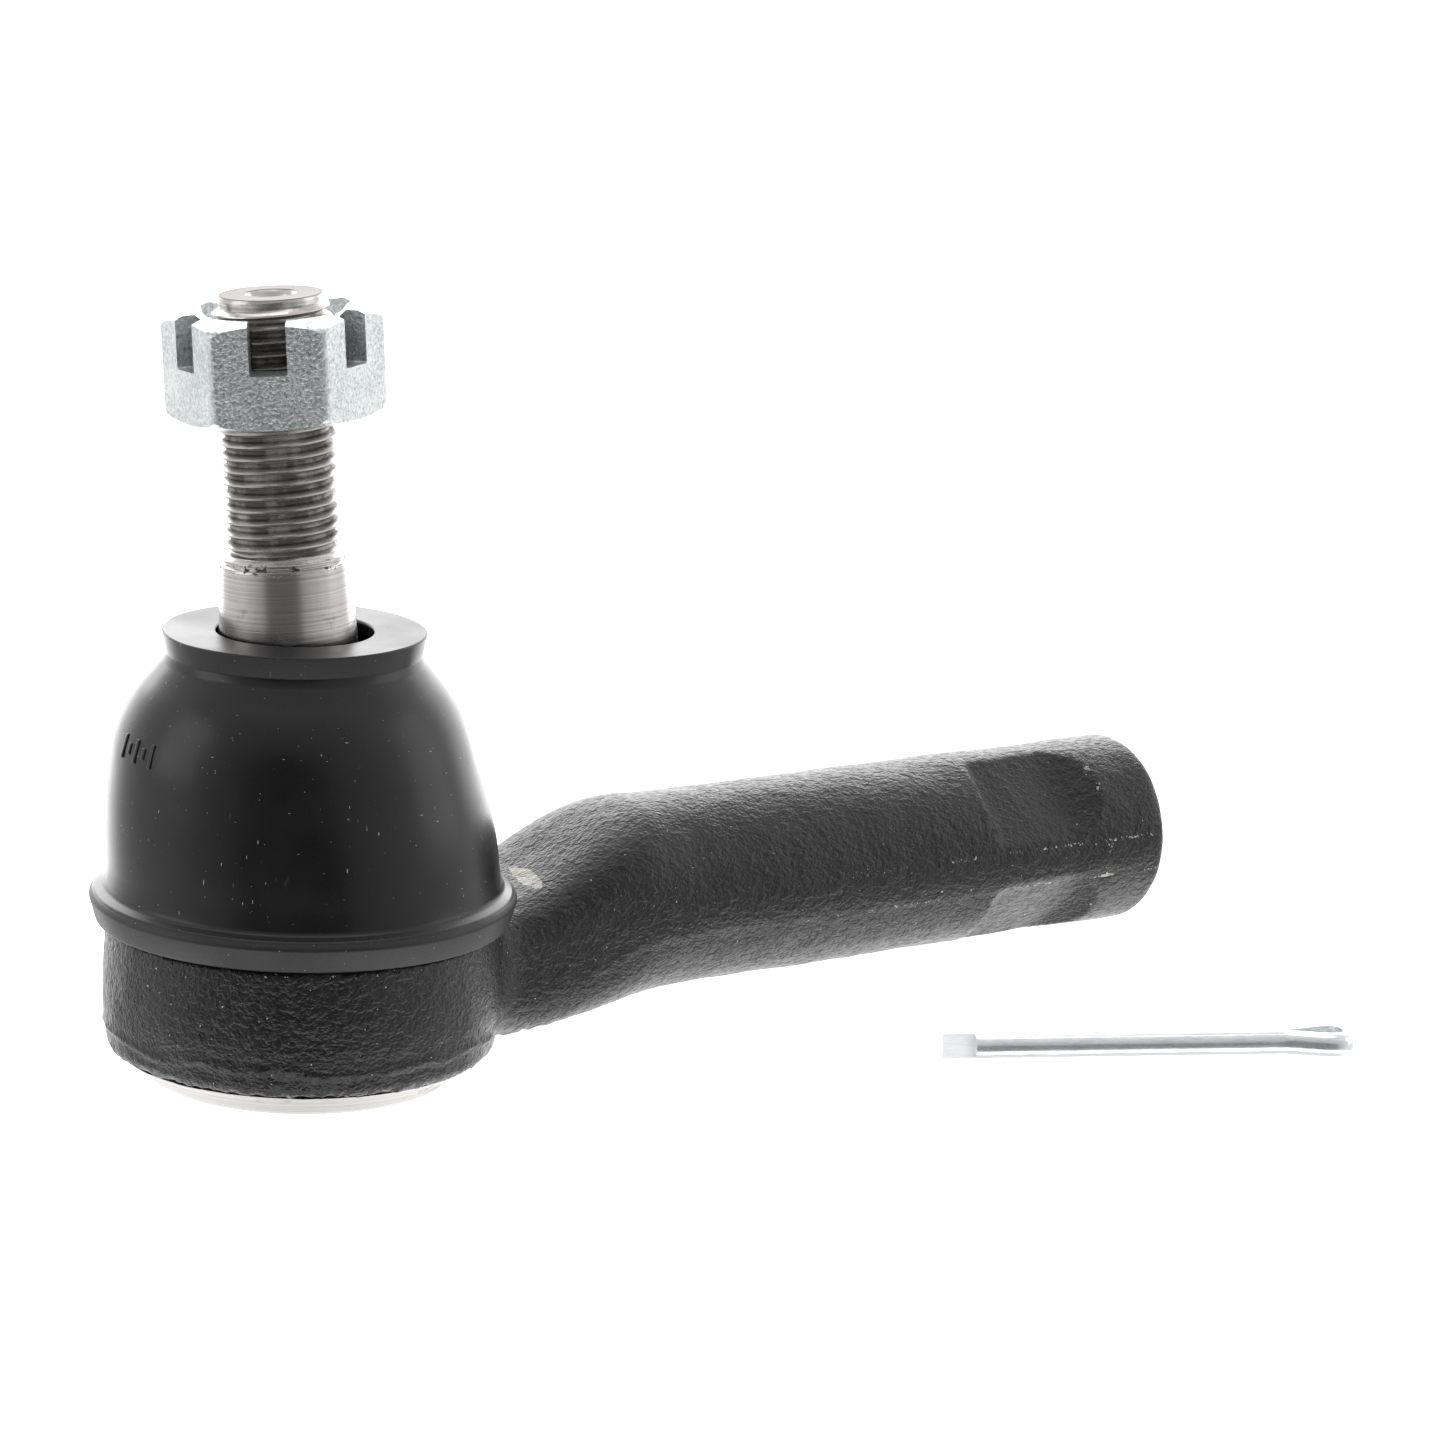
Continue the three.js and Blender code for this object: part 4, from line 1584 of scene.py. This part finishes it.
@dataclass
class CastleNut:
    """The slotted hexagon nut, part of the way up the stud's thread."""

    joint: Joint
    across_flats: float = 18.7
    height: float = 10.3
    seat_distance: float = 51.0
    slot_width: float = 3.6
    slot_depth: float = 5.0
    bore_radius: float = 5.84
    thread_depth: float = 0.5
    pitch: float = 1.25
    chamfer: float = 0.75
    turn: float = -2.6

    def blank(self) -> BMesh:
        """The hexagon with its corners turned off at both ends.

        Returns:
            The mesh.
        """
        corner = self.across_flats / math.sqrt(3)
        bm = bmesh.new()
        made = bmesh.ops.create_circle(bm, cap_ends=True, radius=corner, segments=6)
        bmesh.ops.rotate(bm, matrix=Matrix.Rotation(math.radians(30), 3, "Z"), verts=made["verts"])
        grown = bmesh.ops.extrude_face_region(bm, geom=bm.faces[:])["geom"]
        bmesh.ops.translate(bm, vec=(0, 0, self.height), verts=[g for g in grown if isinstance(g, BMVert)])
        upright = [e for e in bm.edges if abs(e.verts[0].co.z - e.verts[1].co.z) > 1]
        bmesh.ops.bevel(bm, geom=upright, offset=0.45, segments=4, profile=0.5, affect="EDGES", material=-1)
        return tidy(bm)

    def slot_tool(self, turn: float) -> BMesh:
        """One slot right across the nut, with small radii in its floor.

        Args:
            turn: The turn about the axis, in degrees.

        Returns:
            The mesh.
        """
        half, floor = self.slot_width / 2, self.height - self.slot_depth
        top = self.height + 2
        section = fillet([(-half, top), (-half, floor, 0.28), (half, floor, 0.28), (half, top)], 4)
        bm = bmesh.new()
        reach = self.across_flats
        face = bm.faces.new([bm.verts.new((-reach, p[0], p[1])) for p in section])
        grown = bmesh.ops.extrude_face_region(bm, geom=[face])["geom"]
        bmesh.ops.translate(bm, vec=(2 * reach, 0, 0), verts=[g for g in grown if isinstance(g, BMVert)])
        bmesh.ops.rotate(bm, matrix=Matrix.Rotation(math.radians(turn), 3, "Z"), verts=bm.verts)
        return tidy(bm)

    def thread_tool(self) -> BMesh:
        """The nut's thread and its two countersinks.

        Returns:
            The mesh.
        """
        crest = self.bore_radius + self.thread_depth
        low, high = 0.9, self.height - 0.9
        bm = threaded_tube(self.bore_radius, crest, self.pitch, low, high, lambda height: crest)
        wide = crest + 0.25
        extend(bm, rim(bm, low), [(wide, low - 0.1), (wide + 0.9, 0.0), (wide + 0.9, -1.0), (0.0, -1.0)])
        top = [(wide, high + 0.1), (wide + 0.9, self.height)]
        top += [(wide + 0.9, self.height + 1), (0.0, self.height + 1)]
        extend(bm, rim(bm, high), top)
        return tidy(bm)

    def mesh(self) -> BMesh:
        """The whole nut, with its edges eased.

        Returns:
            The mesh.
        """
        corner = self.across_flats / math.sqrt(3)
        turned = [
            (0, 0),
            (corner - 1.85, 0, 0.3),
            (corner - 0.35, self.chamfer * 0.75, 0.6),
            (corner + 0.2, self.chamfer * 2.4),
            (corner + 0.2, self.height - self.chamfer * 2.6),
            (corner - 0.4, self.height - self.chamfer, 0.8),
            (corner - 2.0, self.height, 0.6),
            (0, self.height),
        ]
        nut = working_object(self.blank())
        combine(nut, lathe(fillet(turned, closed=False), closed=False), Cut.KEEP_COMMON)
        for turn in (30, 90, 150):
            combine(nut, self.slot_tool(turn), Cut.REMOVE)
        combine(nut, self.thread_tool(), Cut.REMOVE)
        ease = nut.modifiers.new("ease", "BEVEL")
        ease.limit_method = "ANGLE"
        ease.angle_limit = math.radians(38)
        ease.width = 0.17
        ease.segments = 2
        apply_modifiers(nut)
        return take_mesh(nut)

    def build(self) -> None:
        """Makes the nut in its place on the stud."""
        turn = Matrix.Rotation(math.radians(self.joint.lean_turn + self.turn), 4, "Z")
        place = self.joint.stud_place @ Matrix.Translation((0, 0, self.seat_distance)) @ turn
        piece = Piece("slotted_nut", "nut", "zinc", ("castle_nut",), crease=42.0, flat_sided=True)
        piece.make(self.mesh(), ZincPlate().material(place), place)


@dataclass
class SplitPin:
    """The loose split pin: half-round wire folded back on itself round an open eye."""

    wire_radius: float = 1.3
    gap: float = 0.12
    leg: float = 32.0
    tail: float = 3.3
    eye_length: float = 6.6
    eye_width: float = 3.6
    place_x: float = 61.9
    place_y: float = -28.6
    turn: float = -24.4
    section_segments: int = 28
    eye_steps: int = 40

    def route(self) -> list[Vector]:
        """Points along the wire's flat side, out along one leg and back along the other.

        Returns:
            The points, in order.
        """
        half = self.gap / 2
        bulge = self.eye_width / 2 * 1.55
        tip = self.leg + self.eye_length
        lead = self.leg + self.eye_length * 0.4
        near = [Vector((self.leg, -half)), Vector((lead, -half)), Vector((tip, -bulge)), Vector((tip, 0))]
        far = [Vector((p.x, -p.y)) for p in reversed(near)]
        points = [Vector((self.leg * i / 8, -half)) for i in range(8)]
        for a, b, c, d in (near, far):
            for i in range(self.eye_steps):
                t = i / self.eye_steps
                u = 1 - t
                points.append(a * u**3 + b * (3 * u * u * t) + c * (3 * u * t * t) + d * t**3)
        end = Vector((-self.tail, half))
        begin = Vector((self.leg, half))
        points += [begin.lerp(end, i / 9) for i in range(10)]
        return points

    def mesh(self) -> BMesh:
        """The wire's half-round section carried along its route.

        Returns:
            The mesh.
        """
        bm = bmesh.new()
        radius = self.wire_radius
        count = self.section_segments
        rounded = [
            (radius * math.sin(math.pi * (i + 0.5) / count), radius * math.cos(math.pi * (i + 0.5) / count))
            for i in range(count)
        ]
        section = [(0.0, radius * 0.94), *rounded, (0.0, -radius * 0.94)]
        points = self.route()
        face = bm.faces.new([bm.verts.new((0, 0, 0)) for _ in section])
        for i, here in enumerate(points):
            ahead = points[min(i + 1, len(points) - 1)] - points[max(i - 1, 0)]
            right = Vector((ahead.y, -ahead.x)).normalized()
            if i:
                face = carry(bm, face, is_cap=i == 1)
            for vert, (out, up) in zip(face.verts, section):
                vert.co = (here.x + right.x * out, here.y + right.y * out, up)
        return tidy(bm)

    def build(self) -> None:
        """Lays the pin beside the part."""
        turn = Matrix.Rotation(math.radians(self.turn), 4, "Z")
        place = Matrix.Translation((self.place_x, self.place_y, self.wire_radius)) @ turn
        bright = ZincPlate(
            name="bright_zinc",
            light=(0.88, 0.9, 0.9),
            dark=(0.78, 0.81, 0.835),
            grain=2.6,
            metallic=0.86,
            roughness=0.07,
            matt_side=0.2,
            relief_depth=0.015,
            draw_out=(0.18, 1.0, 1.0),
        )
        piece = Piece("split_pin_wire", "split_pin", "zinc", ("cotter_pin",), crease=40.0)
        piece.make(self.mesh(), bright.material(place), place)


# ------------------------------------------------------------------ studio


@dataclass(frozen=True)
class Softbox:
    """A rectangular light that faces the part."""

    name: str
    place: tuple[float, float, float]
    size: tuple[float, float]
    power: float


@dataclass
class Studio:
    """Pale floor, soft lights, and the camera."""

    aim: tuple[float, float, float] = (39.686, -13.690, 34.079)
    distance: float = 485.1
    azimuth: float = -34.483
    elevation: float = 13.331
    roll: float = 2.185
    lens: float = 121.22
    floor_half: float = 6.0
    floor_glow: float = 0.85
    peak: float = 3.0
    around: tuple[tuple[float, float], ...] = (
        (0.0, 0.15),
        (0.05, 0.16),
        (0.1, 0.44),
        (0.22, 0.6),
        (0.38, 0.78),
        (0.6, 0.85),
        (0.78, 1.0),
        (0.88, 2.1),
        (1.0, 3.0),
    )
    upward: tuple[tuple[float, float], ...] = ((0.0, 0.4), (0.055, 0.75), (0.1, 3.0), (0.2, 1.7), (0.3, 0.0))
    boxes: tuple[Softbox, ...] = field(
        default=(
            Softbox("light_left", (-0.62, 0.22, 0.28), (0.4, 0.5), 0.6),
            Softbox("light_right", (0.66, -0.30, 0.28), (0.4, 0.5), 0.5),
            Softbox("light_back", (0.35, 0.80, 0.45), (1.1, 0.5), 3.3),
            Softbox("light_top", (0.05, 0.2, 0.9), (0.7, 0.7), 1.2),
        )
    )

    def build_floor(self) -> None:
        """A wide plain floor."""
        s = Surface("floor_white")
        s.set(base_color=(0.9, 0.9, 0.9, 1.0), roughness=0.7, emission_color=(1.0, 1.0, 1.0, 1.0))
        s.set(emission_strength=self.floor_glow)
        bm = bmesh.new()
        bmesh.ops.create_grid(bm, x_segments=4, y_segments=4, size=self.floor_half)
        floor = working_object(bm, "floor")
        floor.data.materials.append(s.material)
        floor.visible_glossy = False

    def level_ramp(
        self, tree: NodeTree, value: NodeSocket, stops: tuple[tuple[float, float], ...]
    ) -> NodeSocket:
        """Brightness looked up from a direction's share, -1 to 1, in a row of (place, brightness) stops.

        Args:
            tree: The world's nodes.
            value: What is looked up.
            stops: Rows of (place, brightness).

        Returns:
            The socket that carries the result.
        """
        share = tree.nodes.new("ShaderNodeMapRange")
        share.inputs["From Min"].default_value = -1.0
        ramp = tree.nodes.new("ShaderNodeValToRGB")
        ramp.color_ramp.interpolation = "EASE"
        for place, _ in stops[1:-1]:
            ramp.color_ramp.elements.new(place)
        for element, (place, level) in zip(ramp.color_ramp.elements, stops):
            element.position = place
            element.color = (level / self.peak, level / self.peak, level / self.peak, 1.0)
        tree.links.new(value, share.inputs["Value"])
        tree.links.new(share.outputs["Result"], ramp.inputs["Fac"])
        return ramp.outputs["Color"]

    def build_world(self) -> None:
        """A white surround: dark on the camera's side, brightest behind the part and under it."""
        world = bpy.data.worlds.new("surround")
        bpy.context.scene.world = world
        world.use_nodes = True
        tree = world.node_tree
        direction = tree.nodes.new("ShaderNodeTexCoord").outputs["Generated"]
        turn = math.radians(self.azimuth)
        dot = tree.nodes.new("ShaderNodeVectorMath")
        dot.operation = "DOT_PRODUCT"
        dot.inputs[1].default_value = (-math.sin(turn), math.cos(turn), 0.0)
        tree.links.new(direction, dot.inputs[0])
        split = tree.nodes.new("ShaderNodeSeparateXYZ")
        tree.links.new(direction, split.inputs[0])
        brightest = tree.nodes.new("ShaderNodeMath")
        brightest.operation = "MAXIMUM"
        tree.links.new(self.level_ramp(tree, dot.outputs["Value"], self.around), brightest.inputs[0])
        tree.links.new(self.level_ramp(tree, split.outputs["Z"], self.upward), brightest.inputs[1])
        background = tree.nodes["Background"]
        tree.links.new(brightest.outputs[0], background.inputs["Color"])
        background.inputs["Strength"].default_value = self.peak

    def build_lights(self) -> None:
        """The softboxes, each turned to the part."""
        for box in self.boxes:
            light = bpy.data.lights.new(box.name, "AREA")
            light.shape = "RECTANGLE"
            light.size, light.size_y = box.size
            light.energy = box.power
            obj = bpy.data.objects.new(box.name, light)
            obj.location = box.place
            toward = Vector((0.03, 0.0, 0.03)) - Vector(box.place)
            obj.rotation_euler = toward.to_track_quat("-Z", "Y").to_euler()
            bpy.context.scene.collection.objects.link(obj)

    def build_camera(self) -> None:
        """The camera, at its distance from the point it aims at."""
        azimuth, elevation = math.radians(self.azimuth), math.radians(self.elevation)
        level = math.cos(elevation)
        back = Vector((math.sin(azimuth) * level, -math.cos(azimuth) * level, math.sin(elevation)))
        camera = bpy.data.cameras.new("camera")
        camera.lens = self.lens
        camera.sensor_width = 36.0
        camera.clip_start = 0.01
        obj = bpy.data.objects.new("camera", camera)
        turn = (-back).to_track_quat("-Z", "Y").to_matrix().to_4x4()
        place = Matrix.Translation((Vector(self.aim) + back * self.distance) * MM)
        obj.matrix_world = place @ turn @ Matrix.Rotation(math.radians(self.roll), 4, "Z")
        bpy.context.scene.collection.objects.link(obj)
        bpy.context.scene.camera = obj

    def build(self) -> None:
        """Makes the whole studio."""
        bpy.context.scene.view_settings.view_transform = "Standard"
        self.build_floor()
        self.build_world()
        self.build_lights()
        self.build_camera()


def main() -> None:
    """Builds every sub-assembly and the studio."""
    logging.basicConfig(level=logging.INFO, format="%(name)s %(message)s")
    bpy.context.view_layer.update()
    joint = Joint()
    ForgedHousing(joint, shank_end=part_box("housing")[1].x / MM).build()
    SocketInternals(joint).build()
    DustBoot(joint).build()
    BallStud(joint).build()
    CastleNut(joint).build()
    SplitPin().build()
    Studio().build()


if __name__ == "__main__":
    main()
